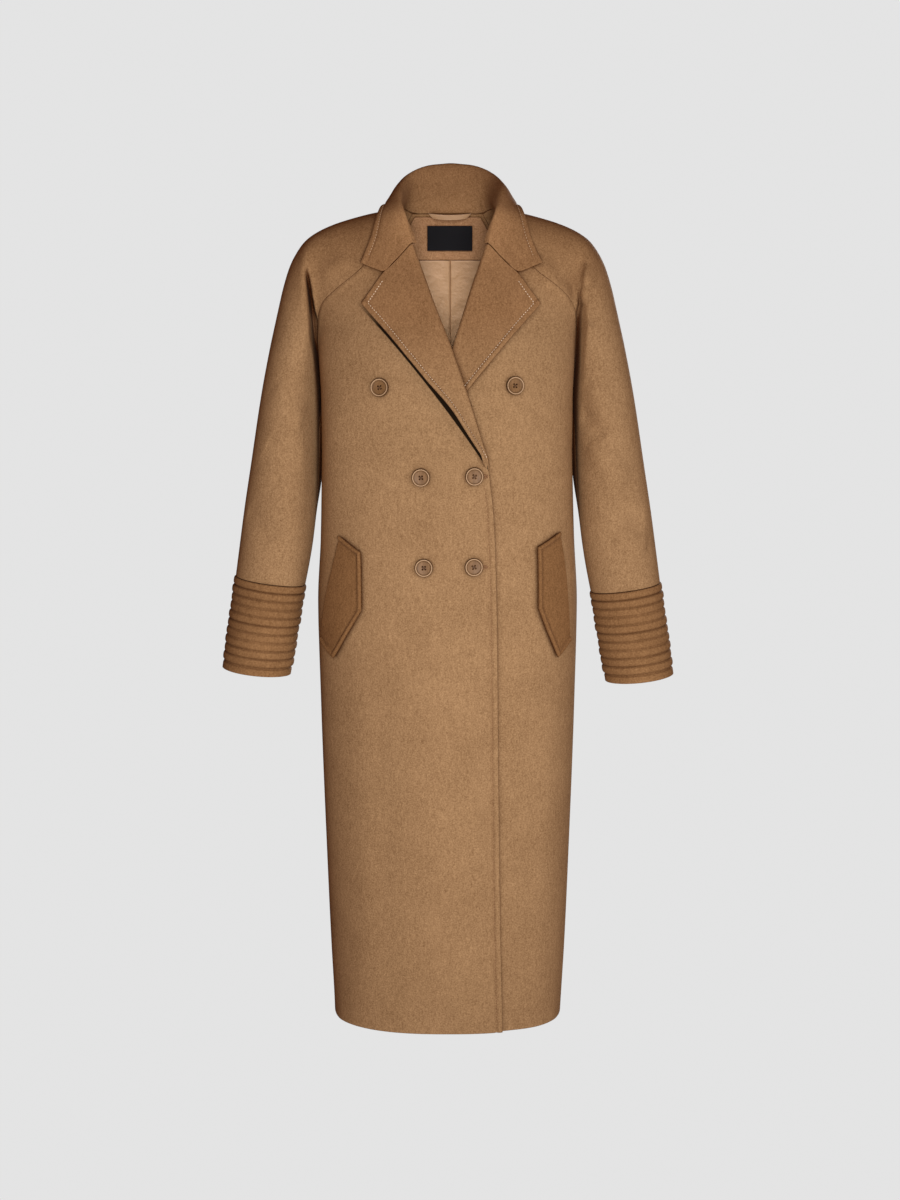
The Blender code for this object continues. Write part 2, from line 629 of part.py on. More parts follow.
def back_grid():
    """Points and normals of the back's outer skin, from the hem to the neck."""
    heights = np.concatenate([BODY_ROWS, RAGLAN["back_height"][::-1]])
    low = np.full(len(BODY_ROWS), math.pi / 2)
    seam = np.concatenate([low, np.radians(RAGLAN["back_turn"])[::-1]])
    turns = seam[:, None] * np.linspace(-1, 1, BACK_COLUMNS)
    points = body_point(turns, heights[:, None], 1)
    return points, body_normal(points, 1)


def back_panel(material):
    """The back."""
    points, normals = back_grid()
    rows = len(RAGLAN["valley"])
    half_gap = SEAM_GAP / 2
    for column, side in ((0, "right"), (-1, "left")):
        _, (_, sleeve_normals) = sleeve_grids(side)
        joined = sleeve_normals[:rows, -1][::-1]
        agree = ease(np.sum(joined * normals[-rows:, column], axis=-1) * 2)[:, None]
        own = normals[-rows:, column]
        normals[-rows:, column] = unit(own + (joined - own) * agree)
        points[-rows:, column] -= normals[-rows:, column] * half_gap
    inner = points - normals * CLOTH
    pulls = ((0.0, NECK_GAP / 2), (half_gap, half_gap))
    return wall("back", pulled_edges(points, *pulls), pulled_edges(inner, *pulls), material)


def lapel_grid(side):
    """Points and normals of a lapel's showing skin.

    Each row runs from the front's inner face round the roll, then lies back over the front. Along a row a
    point has a distance from the roll line toward the lapel's edge and a height over the front.
    """
    sign = -1.0 if side == "right" else 1.0
    first = 0.0 if side == "right" else UNDER_LAPEL_START
    along = np.linspace(first, 1, LAPEL_ROWS)
    edge = outer_edge if side == "right" else inner_edge
    shift = sign * NECK_SHIFT
    roll_z = smooth_curve(LAPEL_ROLL, "height")(along)
    roll_x = -edge(roll_z)
    rim_x = smooth_curve(LAPEL_EDGE, "side_x")(along) + shift * ease(along / RIM_SHIFT_END)
    rim_z = smooth_curve(LAPEL_EDGE, "height")(along)
    length = np.hypot(rim_x - roll_x, rim_z - roll_z)
    radius = np.minimum(ROLL_RADIUS, ROLL_RADIUS_LEAST + ROLL_RADIUS_GROWTH * length)
    if side == "left":
        shown = ease((roll_z - HIDDEN_ROLL_TOP) / HIDDEN_ROLL_BLEND)
        radius = HIDDEN_ROLL_RADIUS + (radius - HIDDEN_ROLL_RADIUS) * shown
    standoff = smooth_curve(STANDOFF[side], "height")(along)
    rest = CLOTH + LAYER_GAP
    places, heights = [], []
    for turn in np.radians(LAPEL_HOOK_TURNS):
        places.append(radius * np.cos(turn) * (1.0 if abs(math.cos(turn)) > 1e-6 else 0.0))
        heights.append(radius - CLOTH + radius * np.sin(turn))
    for share in LAPEL_FLAT:
        distance = share * length
        settle = ease(distance / ROLL_SETTLE)
        places.append(distance)
        heights.append((2 * radius - CLOTH) * (1 - settle) + rest * settle + standoff * share**2)
    places, heights = np.array(places).T, np.array(heights).T
    share = places / length[:, None]
    x = roll_x[:, None] + (rim_x - roll_x)[:, None] * share
    level = np.where(share < 0, 1 - ease((along - HOOK_LEVEL_START) / (1 - HOOK_LEVEL_START))[:, None], 1.0)
    z = roll_z[:, None] + (rim_z - roll_z)[:, None] * share * level
    top_x = smooth_curve(LAPEL_TOP, "side_x")
    top_z = smooth_curve(LAPEL_TOP, "height")
    bend = ease((along - TOP_BEND_START) / (1 - TOP_BEND_START))[:, None] * (share > 0)
    straight_x = top_x(0) + (top_x(1) - top_x(0)) * share
    straight_z = top_z(0) + (top_z(1) - top_z(0)) * share
    x = x + bend * (top_x(share) - straight_x)
    z = z + bend * (top_z(share) - straight_z)
    x = x * sign
    points, slopes = front_skin(x, z, side)
    points = points + slopes * heights[..., None]
    normals = unit(np.cross(np.gradient(points, axis=1), np.gradient(points, axis=0)))
    normals = normals * np.sign(np.sum(normals[-1, -1] * slopes[-1, -1]))
    normals[:, 0] = -slopes[:, 0]
    return points, normals


def lapel(side, material):
    """A lapel as a solid."""
    points, normals = lapel_grid(side)
    inner = points - normals * CLOTH
    pulls = ((0.0, NECK_GAP / 2), (0.0, 0.0))
    shift = lapel_shift(points, ROLL_GAP[side])
    outer = pulled_edges(points + shift, *pulls)
    return wall(f"lapel_{side}", outer, pulled_edges(inner + shift, *pulls), material)


def lapel_shift(points, gap):
    """A small step off the front's edge, along each row, at the columns that lie beside it."""
    shift = np.zeros_like(points)
    away = unit(points[:, 2] - points[:, 5])
    for column, share in ((0, 1.0), (1, 1.0), (2, 1.0), (3, 0.5)):
        shift[:, column] = away * gap * share
    return shift


def resampled(points, shares):
    """Points at shares of the length of a line through points."""
    steps = np.linalg.norm(np.diff(points, axis=0), axis=1)
    length = np.concatenate([[0.0], np.cumsum(steps)])
    length /= length[-1]
    return np.stack([np.interp(shares, length, points[:, axis]) for axis in range(3)], axis=-1)


def neckline(side, shares):
    """Points and outward normals on the neck seam, from the middle of the back to the gorge."""
    mirror = np.array([-1.0 if side == "right" else 1.0, 1.0, 1.0])
    back_turns = np.linspace(0, math.radians(RAGLAN["back_turn"][0]), 8)
    back = body_point(back_turns, RAGLAN["back_height"][0], 1)
    back_way = body_normal(back, 1)
    (front_points, front_normals), (rear_points, rear_normals) = sleeve_grids("left")
    edge = outer_edge if side == "right" else inner_edge
    heights = np.linspace(RAGLAN["front_height"][0], GORGE_HEIGHT, 6)
    roll = body_point(turn_of(-edge(heights), heights), heights, -1)
    roll_way = body_normal(roll, -1)
    line = np.concatenate([back, rear_points[0][::-1][1:], front_points[0][::-1][1:], roll])
    ways = np.concatenate([back_way, rear_normals[0][::-1][1:], front_normals[0][::-1][1:], roll_way])
    steps = np.linalg.norm(np.diff(line, axis=0), axis=1)
    length = np.concatenate([[0.0], np.cumsum(steps)])
    length /= length[-1]
    points = np.stack([np.interp(shares, length, line[:, axis]) for axis in range(3)], axis=-1)
    normals = np.stack([np.interp(shares, length, ways[:, axis]) for axis in range(3)], axis=-1)
    return points * mirror, unit(normals) * mirror


def lifted_clear(points, below, slopes, clear):
    """The points, each moved out until it stands clear of the nearest point below it."""
    flat = points.reshape(-1, 3).copy()
    for _ in range(3):
        gaps = ((flat[:, None] - below[None]) ** 2).sum(axis=-1)
        nearest = gaps.argmin(axis=1)
        height = np.sum((flat - below[nearest]) * slopes[nearest], axis=-1)
        near = np.sqrt(gaps.min(axis=1)) < UNDER_NEAR
        lack = np.where(near, np.maximum(clear - height, 0), 0)
        flat += slopes[nearest] * lack[:, None]
    return flat.reshape(points.shape)


def refined(points, times):
    """A grid with more rows and columns, by straight steps."""
    for axis in (0, 1):
        count = points.shape[axis]
        fine = np.linspace(0, count - 1, (count - 1) * times + 1)
        low = np.minimum(fine.astype(int), count - 2)
        share = (fine - low).reshape((-1, 1, 1) if axis == 0 else (1, -1, 1))
        points = np.take(points, low, axis) * (1 - share) + np.take(points, low + 1, axis) * share
    return points


def under_collar(side):
    """Points and normals of what the fall of the collar lies on: the sleeve, the front and the back."""
    found = []
    sleeve_rows, back_rows = slice(0, UNDER_SLEEVE_ROWS), slice(-UNDER_BACK_ROWS, None)
    front_half, back_half = sleeve_grids(side)
    stretches = ((front_half, sleeve_rows), (back_half, sleeve_rows), (back_grid(), back_rows))
    for (points, normals), rows in stretches:
        found.append((refined(points[rows], UNDER_TIMES), refined(normals[rows], UNDER_TIMES)))
    sign = -1.0 if side == "right" else 1.0
    heights = np.linspace(*UNDER_FRONT, UNDER_STEPS)[:, None]
    shares = np.linspace(0.0, 1.0, UNDER_STEPS)
    seam = np.interp(-heights, -RAGLAN["front_height"], np.radians(RAGLAN["front_turn"]))
    x = body_point(seam, heights, -1)[..., 0] * shares
    found.append(front_skin(x * sign, np.broadcast_to(heights, x.shape), side))
    below = np.concatenate([points.reshape(-1, 3) for points, _ in found])
    slopes = unit(np.concatenate([normals.reshape(-1, 3) for _, normals in found]))
    return below, slopes


def collar_half(side):
    """Points and normals of half of the collar's showing skin, from the middle of the back to the gorge."""
    sign = -1.0 if side == "right" else 1.0
    mirror = np.array([sign, 1.0, 1.0])
    along = np.linspace(0, 1, COLLAR_HALF_ROWS)
    seam, slope = neckline(side, along)
    run = np.gradient(seam, axis=0)
    off_panel = unit(np.cross(run, slope)) * sign
    off_panel = off_panel * np.sign(off_panel[0, 2])
    start = seam - slope * CLOTH + off_panel * NECK_GAP
    shift = np.array([NECK_SHIFT, 0.0, 0.0])
    curves = {name: smooth_curve(COLLAR, name)(along) for name in COLLAR}
    roll = np.stack([curves["roll_x"], curves["roll_y"], curves["roll_z"]], axis=-1) * mirror + shift
    edge = np.stack([curves["edge_x"], curves["edge_y"], curves["edge_z"]], axis=-1) * mirror + shift
    rise = roll - start
    height = np.linalg.norm(rise, axis=-1, keepdims=True)
    out = edge - roll
    face = unit(out)
    level = face - unit(rise) * np.sum(face * unit(rise), axis=-1, keepdims=True)
    roll_out = unit(level + COLLAR_ROLL_OUT * slope)
    reach = np.minimum(COLLAR_ROLL_REACH, COLLAR_REACH_LEAST + COLLAR_REACH_GROWTH * height)
    first = start + off_panel * np.clip(COLLAR_RISE * height, COLLAR_RISE_LEAST, COLLAR_RISE_MOST)
    stand = bezier(start, first, roll - roll_out * reach, roll, np.linspace(0, 1, COLLAR_STAND_COLUMNS))
    fall_length = np.linalg.norm(out, axis=-1, keepdims=True)
    bowed = unit(out - COLLAR_FALL_BOW * roll_out * fall_length)
    last = edge - bowed * fall_length * COLLAR_FALL_REACH
    fall = bezier(roll, roll + roll_out * reach * 1.1, last, edge, np.linspace(0, 1, COLLAR_FALL_COLUMNS))
    lapel_points, _ = lapel_grid(side)
    top_row = lapel_points[-1][len(LAPEL_HOOK_TURNS) - 1:]
    notch_x = float(smooth_curve(LAPEL_TOP, "side_x")(NOTCH_ACROSS)) * sign + NECK_SHIFT
    gorge = top_row[sign * top_row[:, 0] < sign * notch_x - 0.002]
    notch_z = float(smooth_curve(LAPEL_TOP, "height")(NOTCH_ACROSS))
    rest = CLOTH + LAYER_GAP + COLLAR_END_LIFT
    ends = []
    for x, z in ((notch_x, notch_z), (sign * COLLAR_CORNER[0] + NECK_SHIFT, COLLAR_CORNER[1])):
        point, way = front_skin(np.array(x), np.array(z), side)
        ends.append(point + way * rest)
    end_line = np.concatenate([gorge, np.array(ends)])
    end_row = resampled(end_line, np.linspace(0, 1, COLLAR_FALL_COLUMNS))
    share = ease((along - COLLAR_END_START) / (1 - COLLAR_END_START))[:, None, None]
    fall = fall + share * (end_row - fall[-1])[None]
    points = np.concatenate([stand, fall[:, 1:]], axis=1)
    points[:, COLLAR_STAND_COLUMNS - 1] += (share * (end_row[0] - roll[-1])[None])[:, 0]
    points[:, COLLAR_STAND_COLUMNS - 2] += 0.5 * (share * (end_row[0] - roll[-1])[None])[:, 0]
    below, slopes = under_collar(side)
    falling = points[:, COLLAR_STAND_COLUMNS + 2:]
    points[:, COLLAR_STAND_COLUMNS + 2:] = lifted_clear(falling, below, slopes, CLOTH + COLLAR_CLEAR)
    return points, slope


def collar(material):
    """The collar: a stand that rises from the neck seam, a roll, and a fall over the shoulders."""
    right, right_slope = collar_half("right")
    left, left_slope = collar_half("left")
    points = np.concatenate([right[::-1], left[1:]])
    normals = unit(np.cross(np.gradient(points, axis=1), np.gradient(points, axis=0)))
    middle = COLLAR_HALF_ROWS - 1
    normals = normals * np.sign(normals[middle, COLLAR_STAND_COLUMNS - 1, 2])
    normals[:, 0] = -np.concatenate([right_slope[::-1], left_slope[1:]])
    inner = points - normals * CLOTH
    pulls = ((NECK_GAP / 2 + SEAM_GAP, NECK_GAP / 2 + SEAM_GAP), (NECK_GAP, 0.0))
    return wall("collar", pulled_edges(points, *pulls), pulled_edges(inner, *pulls), material)


def inside_back(name, x, heights, depth_in, cloth, material, raised=0.0):
    """A layer inside the back: its far side lies a depth in from the back's outer skin.

    Args:
        name: Name of the object.
        x: Sideways places, rows by columns.
        heights: Height of each point.
        depth_in: Depth of the far side.
        cloth: Thickness of the layer.
        material: Its material.
        raised: How much more the near side stands in at each point.

    Returns:
        The object.
    """
    skin = body_point(turn_of(x, heights), heights, 1)
    normals = body_normal(skin, 1)
    raised = np.broadcast_to(np.asarray(raised, float), x.shape)[..., None]
    far = skin - normals * depth_in
    return wall(name, far, far - normals * (cloth + raised), material)


def back_half_width(heights):
    """How far sideways the back reaches at a height in the yoke."""
    turn = np.interp(-heights, -RAGLAN["back_height"], np.radians(RAGLAN["back_turn"]))
    return body_point(turn, heights, 1)[..., 0]


def neck_pieces(wool, satin, black):
    """Facing, lining, label and hanger loop inside the back of the neck."""
    layer = CLOTH + INSIDE_GAP
    heights = np.linspace(FACING_TOP, FACING_BOTTOM, 6)[:, None] * np.ones((1, 13))
    reach = back_half_width(heights) - FACING_SIDE
    inside_back("back_neck_facing", reach * np.linspace(-1, 1, 13), heights, layer, LINING_CLOTH, wool)
    heights = np.linspace(LINING_TOP, LINING_BOTTOM, 9)[:, None] * np.ones((1, 15))
    reach = np.minimum(back_half_width(heights) - FACING_SIDE, LINING_HALF_WIDTH)
    half = np.array(LINING_SHARES)
    x = reach * np.concatenate([-half[:0:-1], half])
    pleat = PLEAT_HEIGHT * np.clip(1 - np.abs(x) / PLEAT_HALF_WIDTH, 0, 1)
    inside_back("back_lining", x, heights, layer, LINING_CLOTH, satin, pleat)
    inward = layer + LINING_CLOTH + INSIDE_LAYER_GAP
    heights = np.linspace(LABEL_TOP, LABEL_BOTTOM, 4)[:, None] * np.ones((1, 9))
    x = LABEL_WIDTH / 2 * np.linspace(-1, 1, 9) * np.ones((4, 1)) + NECK_TRIM_SHIFT
    inside_back("neck_label", x, heights, inward, LABEL_CLOTH, black)
    shares = np.linspace(-1, 1, 11)
    bow = 1 - shares**2
    heights = np.linspace(LOOP_TOP, LOOP_BOTTOM, 3)[:, None] - LOOP_SAG * bow
    x = LOOP_HALF_LENGTH * shares * np.ones((3, 1)) + NECK_TRIM_SHIFT
    skin = body_point(turn_of(x, heights), heights, 1)
    normals = body_normal(skin, 1)
    far = skin - normals * (inward + LOOP_BOW * bow)[None, :, None]
    wall("hanger_loop", far, far - normals * LOOP_CLOTH, satin)


def pocket_flap(side, material):
    """A pocket flap: five-cornered, sewn on its edge by the side and free at its other edges."""
    sign = -1.0 if side == "right" else 1.0
    rows = {name: column[:, None] for name, column in FLAP[side].items()}
    shares = np.linspace(0, 1, FLAP_ACROSS)
    sewn_turn = turn_of(rows["sewn_x"], rows["sewn_z"])
    free_turn = turn_of(rows["free_x"], rows["free_z"])
    heights = rows["sewn_z"] * (1 - shares) + rows["free_z"] * shares
    skin = body_point(sign * (sewn_turn * (1 - shares) + free_turn * shares), heights, -1)
    normals = body_normal(skin, -1)
    under = skin + normals * (FLAP_LIFT + FLAP_STANDOFF * shares)[None, :, None]
    return wall(f"pocket_flap_{side}", under + normals * FLAP_CLOTH, under, material)


def button(name, x, height, side, material):
    """A button turned from its profile, standing on its front."""
    point, normal = front_skin(np.array(x), np.array(height), side)
    point = point + normal * BUTTON_LIFT
    across = unit(np.cross(np.array([0.0, 0.0, 1.0]), normal))
    up = np.cross(normal, across)
    shape = bmesh.new()
    profile = zip(BUTTON_PROFILE["radius_share"], BUTTON_PROFILE["height"])
    corners = [shape.verts.new((share * BUTTON_RADIUS, 0.0, rise)) for share, rise in profile]
    edges = [shape.edges.new(pair) for pair in zip(corners, corners[1:])]
    bmesh.ops.spin(
        shape, geom=corners + edges, cent=(0, 0, 0), axis=(0, 0, 1), angle=2 * math.pi, steps=BUTTON_STEPS,
        use_merge=True,
    )
    bmesh.ops.remove_doubles(shape, verts=shape.verts, dist=1e-6)
    for corner in shape.verts:
        corner.co = point + across * corner.co.x + up * corner.co.y + normal * corner.co.z
    bmesh.ops.recalc_face_normals(shape, faces=shape.faces)
    return finished(name, shape, material)


def main():
    """Builds the coat."""
    wool = surface_material("coat_wool", WOOL, 0.9)
    flap_wool = surface_material("flap_wool", FLAP_WOOL, 0.9)
    satin = surface_material("lining_satin", SATIN, 0.5)
    black = surface_material("label_black", LABEL_BLACK, 0.6)
    horn = surface_material("button_horn", HORN, 0.35)
    back_panel(wool)
    for side in ("right", "left"):
        front_panel(side, wool)
        sleeve_panels(side, wool)
        cuff(side, wool)
        lapel(side, wool)
        pocket_flap(side, flap_wool)
    collar(wool)
    neck_pieces(wool, satin, black)
    for name, x, height, side in BUTTONS:
        button(name, x, height, side, horn)


main()
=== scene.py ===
"""Looks of the long double-breasted wool coat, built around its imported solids.

Every panel is a thin closed shell on the form of its solid: a grid of points worked out from the section
tables below, an inner skin set in by the thickness of the cloth, and a rounded rim between the two. Soft
folds move all the pieces alike, so layers that lie on each other stay clear of each other. Units are
metres, +Z is up, the front of the coat faces -Y and the wearer's right side is at -X.
"""

import logging
import math
from collections.abc import Sequence
from dataclasses import dataclass, field
from enum import Enum

import bpy
import numpy as np
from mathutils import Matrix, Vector
from numpy.typing import NDArray


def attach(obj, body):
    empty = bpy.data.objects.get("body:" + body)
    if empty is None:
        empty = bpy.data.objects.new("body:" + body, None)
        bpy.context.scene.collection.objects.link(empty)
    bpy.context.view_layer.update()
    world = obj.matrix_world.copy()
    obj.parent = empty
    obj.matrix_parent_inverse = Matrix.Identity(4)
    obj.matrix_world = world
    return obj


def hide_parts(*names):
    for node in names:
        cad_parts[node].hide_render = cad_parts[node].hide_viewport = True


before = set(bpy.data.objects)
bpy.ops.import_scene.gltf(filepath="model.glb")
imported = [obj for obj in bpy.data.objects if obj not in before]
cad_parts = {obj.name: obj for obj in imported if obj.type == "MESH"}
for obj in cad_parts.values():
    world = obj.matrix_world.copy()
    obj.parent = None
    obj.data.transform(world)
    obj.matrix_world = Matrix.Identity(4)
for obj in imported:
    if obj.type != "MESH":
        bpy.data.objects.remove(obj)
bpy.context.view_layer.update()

LOG = logging.getLogger("coat")
Points = NDArray[np.float64]
Faces = NDArray[np.int64]
Colour = tuple[float, float, float]
FoldRow = tuple[float, float, float, float, float, float]
FORWARD = np.array([0.0, -1.0, 0.0])


class Table:
    """Sizes in named columns, with the first column as the key of the curves through the others."""

    def __init__(self, columns: str, *rows: tuple[float, ...]) -> None:
        """Keeps rows of sizes, sorted by the first column, as arrays named by a list of the columns."""
        self.names = columns.split()
        self.columns = dict(zip(self.names, np.array(rows, float).T))

    def __getitem__(self, column: str) -> Points:
        """The sizes of one column."""
        return self.columns[column]

    def curve(self, column: str, at: Points | float) -> Points:
        """A smooth curve through one column that doesn't swing past its values.

        Cubic steps between the rows, with each inner slope the weighted harmonic mean of its two chords.

        Args:
            column: Name of the column.
            at: Keys to read the curve at.

        Returns:
            The curve's values, held at the ends beyond the table.
        """
        order = np.argsort(self.columns[self.names[0]])
        keys = self.columns[self.names[0]][order]
        values = self.columns[column][order]
        steps = np.diff(keys)
        chords = np.diff(values) / steps
        before, after = chords[:-1], chords[1:]
        turning = before * after <= 0
        weight_before = steps[:-1] + 2 * steps[1:]
        weight_after = 2 * steps[:-1] + steps[1:]
        safe_before = np.where(turning, 1.0, before)
        safe_after = np.where(turning, 1.0, after)
        mean = (weight_before + weight_after) / (weight_before / safe_before + weight_after / safe_after)
        slopes = np.concatenate([chords[:1], np.where(turning, 0.0, mean), chords[-1:]])
        at = np.asarray(at, float)
        index = np.clip(np.searchsorted(keys, at) - 1, 0, len(steps) - 1)
        share = np.clip((at - keys[index]) / steps[index], 0, 1)
        rest = 1 - share
        return (
            values[index] * (1 + 2 * share) * rest**2
            + slopes[index] * steps[index] * share * rest**2
            + values[index + 1] * share**2 * (3 - 2 * share)
            - slopes[index + 1] * steps[index] * share**2 * rest
        )


# Cloth and seams
CLOTH = 0.0026
LINING_CLOTH = 0.0012
FLAP_CLOTH = 0.0030
SEAM_GAP = 0.0003
LAYER_GAP = 0.0012
NECK_GAP = 0.0006
LINING_BLEND = 0.003
LEAST_CUT = 0.0101

# Body sections, from the hem up
BODY = Table(
    "height half_width front_depth back_depth",
    (-1.190, 0.1712, 0.1320, 0.1200),
    (-1.087, 0.1770, 0.1320, 0.1200),
    (-0.950, 0.1820, 0.1310, 0.1195),
    (-0.715, 0.1887, 0.1290, 0.1190),
    (-0.565, 0.1910, 0.1265, 0.1180),
    (-0.475, 0.1864, 0.1230, 0.1110),
    (-0.416, 0.1837, 0.1215, 0.1080),
    (-0.328, 0.1814, 0.1225, 0.1070),
    (-0.275, 0.1815, 0.1240, 0.1090),
    (-0.200, 0.1857, 0.1160, 0.1100),
    (-0.150, 0.1900, 0.1010, 0.1070),
    (-0.110, 0.1975, 0.0880, 0.1020),
    (-0.080, 0.2030, 0.0755, 0.0965),
    (-0.050, 0.2000, 0.0660, 0.0890),
    (-0.018, 0.1800, 0.0560, 0.0790),
    (0.002, 0.1680, 0.0530, 0.0735),
)
HEM_HEIGHT = -1.190
UNDERARM_HEIGHT = -0.275

# Raglan rows, from the neck to the underarm. The seam is a height and a turn round the body section, 90 at
# the side. The top is the overarm seam. A reach is a handle of the curve from a seam to the top. The valley
# column turns the curve's start from the slope of the body to straight forward, as in the armpit.
RAGLAN = Table(
    "row front_height front_turn back_height back_turn top_x top_y top_z "
    "front_reach top_reach back_reach valley",
    (0, -0.0165, 17.5, 0.000, 13.3, 0.0705, 0.004, 0.0045, 0.020, 0.028, 0.024, 0.00),
    (1, -0.0480, 23.9, -0.035, 17.6, 0.1030, 0.004, -0.0005, 0.030, 0.034, 0.034, 0.00),
    (2, -0.0811, 32.5, -0.070, 24.5, 0.1340, 0.004, -0.0080, 0.038, 0.040, 0.040, 0.00),
    (3, -0.1104, 49.9, -0.105, 35.3, 0.1640, 0.004, -0.0175, 0.045, 0.046, 0.046, 0.05),
    (4, -0.1300, 65.0, -0.135, 47.0, 0.1870, 0.004, -0.0280, 0.052, 0.052, 0.050, 0.25),
    (5, -0.1500, 75.0, -0.160, 58.0, 0.2045, 0.004, -0.0405, 0.058, 0.058, 0.056, 0.55),
    (6, -0.1750, 80.5, -0.185, 67.5, 0.2165, 0.003, -0.0560, 0.064, 0.063, 0.062, 0.80),
    (7, -0.2000, 84.3, -0.210, 74.6, 0.2270, 0.002, -0.0760, 0.068, 0.067, 0.067, 0.95),
    (8, -0.2250, 87.0, -0.232, 81.0, 0.2365, 0.001, -0.1050, 0.071, 0.071, 0.071, 1.00),
    (9, -0.2500, 88.8, -0.253, 86.0, 0.2455, 0.000, -0.1420, 0.074, 0.074, 0.074, 1.00),
    (10, -0.2750, 90.0, -0.275, 90.0, 0.2560, 0.000, -0.1870, 0.076, 0.076, 0.076, 1.00),
)
UNDERARM_ROW = 10

# Sleeve rows below the underarm, from the armpit to the top of the cuff, and last the end of the cuff
SLEEVE = Table(
    "row inner_x inner_z outer_x outer_z middle_y half_depth",
    (1, 0.1850, -0.3060, 0.2665, -0.2380, -0.001, 0.0575),
    (2, 0.1872, -0.3480, 0.2770, -0.2980, -0.003, 0.0570),
    (3, 0.1895, -0.3970, 0.2865, -0.3590, -0.006, 0.0560),
    (4, 0.1935, -0.4470, 0.2960, -0.4190, -0.010, 0.0545),
    (5, 0.2005, -0.4950, 0.3040, -0.4760, -0.014, 0.0530),
    (6, 0.2090, -0.5385, 0.3105, -0.5240, -0.018, 0.0515),
    (7, 0.2320, -0.6705, 0.3310, -0.6590, -0.027, 0.0490),
)

# Front edges: how far past the middle each front reaches, and the roll line from the neck to the break
OUTER_EDGE = Table(
    "height reach",
    (-1.190, 0.0815), (-1.000, 0.0770), (-0.800, 0.0740), (-0.546, 0.0703), (-0.432, 0.0660),
    (-0.375, 0.0600), (-0.361, 0.0580),
    (-0.304, 0.0415), (-0.190, 0.0005), (-0.135, -0.0215), (-0.0715, -0.0440),
    (-0.047, -0.0525), (-0.030, -0.0580), (-0.0165, -0.0650),
)
INNER_EDGE = Table(
    "height reach",
    (-1.190, 0.0700), (-0.420, 0.0650), (-0.361, 0.0560), (-0.304, 0.0330), (-0.190, -0.0095),
    (-0.135, -0.0288), (-0.0715, -0.0512), (-0.047, -0.0590), (-0.030, -0.0628), (-0.0165, -0.0665),
)
BREAK_HEIGHT = -0.361
# The collar and the lapels sit a little toward the wearer's left
NECK_SHIFT = 0.005
# How far the under front is pressed in where the outer front covers it
UNDERLAP = Table(
    "height depth",
    (-1.190, 0.0046), (-0.420, 0.0046), (-0.330, 0.0070), (-0.270, 0.0090), (-0.190, 0.0090),
    (-0.120, 0.0040), (-0.070, 0.0000), (-0.010, 0.0000),
)

# Lapels: the outer edge from the break to the point, and the top edge from the roll by the gorge and the
# notch to the point. Each row is a sideways place toward the lapel's own side and a height.
LAPEL_EDGE = Table(
    "along side_x height",
    (0.00, -0.0575, -0.3640), (0.04, -0.0500, -0.3510), (0.16, -0.0300, -0.3226), (0.38, 0.0105, -0.2651),
    (0.68, 0.0690, -0.1933), (1.00, 0.1250, -0.1299),
)
LAPEL_ROLL = Table("along height", (0.00, -0.3625), (0.20, -0.290), (0.55, -0.170), (1.00, -0.0495))
LAPEL_TOP = Table(
    "across side_x height",
    (0.00, 0.0550, -0.0495), (0.12, 0.0630, -0.0575), (0.34, 0.0810, -0.0750), (0.52, 0.0945, -0.0875),
    (0.76, 0.1100, -0.1090), (1.00, 0.1250, -0.1299),
)
NOTCH_ACROSS = 0.52
GORGE_HEIGHT = -0.0470

# Collar rows from the middle of the back to the gorge: the roll and the outer edge
COLLAR = Table(
    "along roll_x roll_y roll_z edge_x edge_y edge_z",
    (0.00, 0.0000, 0.0875, 0.0740, 0.0000, 0.1040, -0.0100),
    (0.12, 0.0280, 0.0850, 0.0715, 0.0370, 0.1020, -0.0100),
    (0.22, 0.0505, 0.0705, 0.0640, 0.0680, 0.0900, -0.0060),
    (0.35, 0.0665, 0.0440, 0.0500, 0.0890, 0.0640, 0.0000),
    (0.53, 0.0735, 0.0060, 0.0345, 0.0970, 0.0260, 0.0040),
    (0.66, 0.0725, -0.0230, 0.0185, 0.0995, -0.0100, 0.0045),
    (0.785, 0.0660, -0.0520, 0.0010, 0.1040, -0.0390, -0.0060),
    (0.88, 0.0570, -0.0650, -0.0180, 0.1120, -0.0590, -0.0360),
    (1.00, 0.0460, -0.0740, -0.0440, 0.1270, -0.0700, -0.0741),
)


class Side(Enum):
    """The wearer's two sides, with the direction of each along X."""

    RIGHT = -1.0
    LEFT = 1.0

    @property
    def word(self) -> str:
        """Name of the side, as in the names of the nodes."""
        return self.name.lower()

    @property
    def mirror(self) -> Points:
        """Factors that take a point of the left side to this side."""
        return np.array([self.value, 1.0, 1.0])


class Face(Enum):
    """The front and the back of the body, with the direction of each along Y."""

    FRONT = -1.0
    BACK = 1.0


class Held(Enum):
    """How a piece of cloth is held in place."""

    HUNG = "hung"
    FOLDED = "folded"
    LAID = "laid"


class Rim(Enum):
    """Finish of a cloth's edge, with the share of its thickness that the edge bulges by."""

    FREE = 0.5
    SEAM = 0.28


class Edge(Enum):
    """The four edges of a grid of points."""

    FIRST_ROW = 0
    LAST_ROW = 1
    FIRST_COLUMN = 2
    LAST_COLUMN = 3

    @property
    def is_row(self) -> bool:
        """Whether the edge is a row of the grid."""
        return self in (Edge.FIRST_ROW, Edge.LAST_ROW)

    @property
    def is_first(self) -> bool:
        """Whether the grid starts at the edge."""
        return self in (Edge.FIRST_ROW, Edge.FIRST_COLUMN)

    def turned(self, grid: Points) -> Points:
        """The grid turned so that this edge is its last column."""
        grid = grid.swapaxes(0, 1) if self.is_row else grid
        return grid[:, ::-1] if self.is_first else grid

    def turned_back(self, grid: Points) -> Points:
        """A turned grid as it was before."""
        grid = grid[:, ::-1] if self.is_first else grid
        return grid.swapaxes(0, 1) if self.is_row else grid


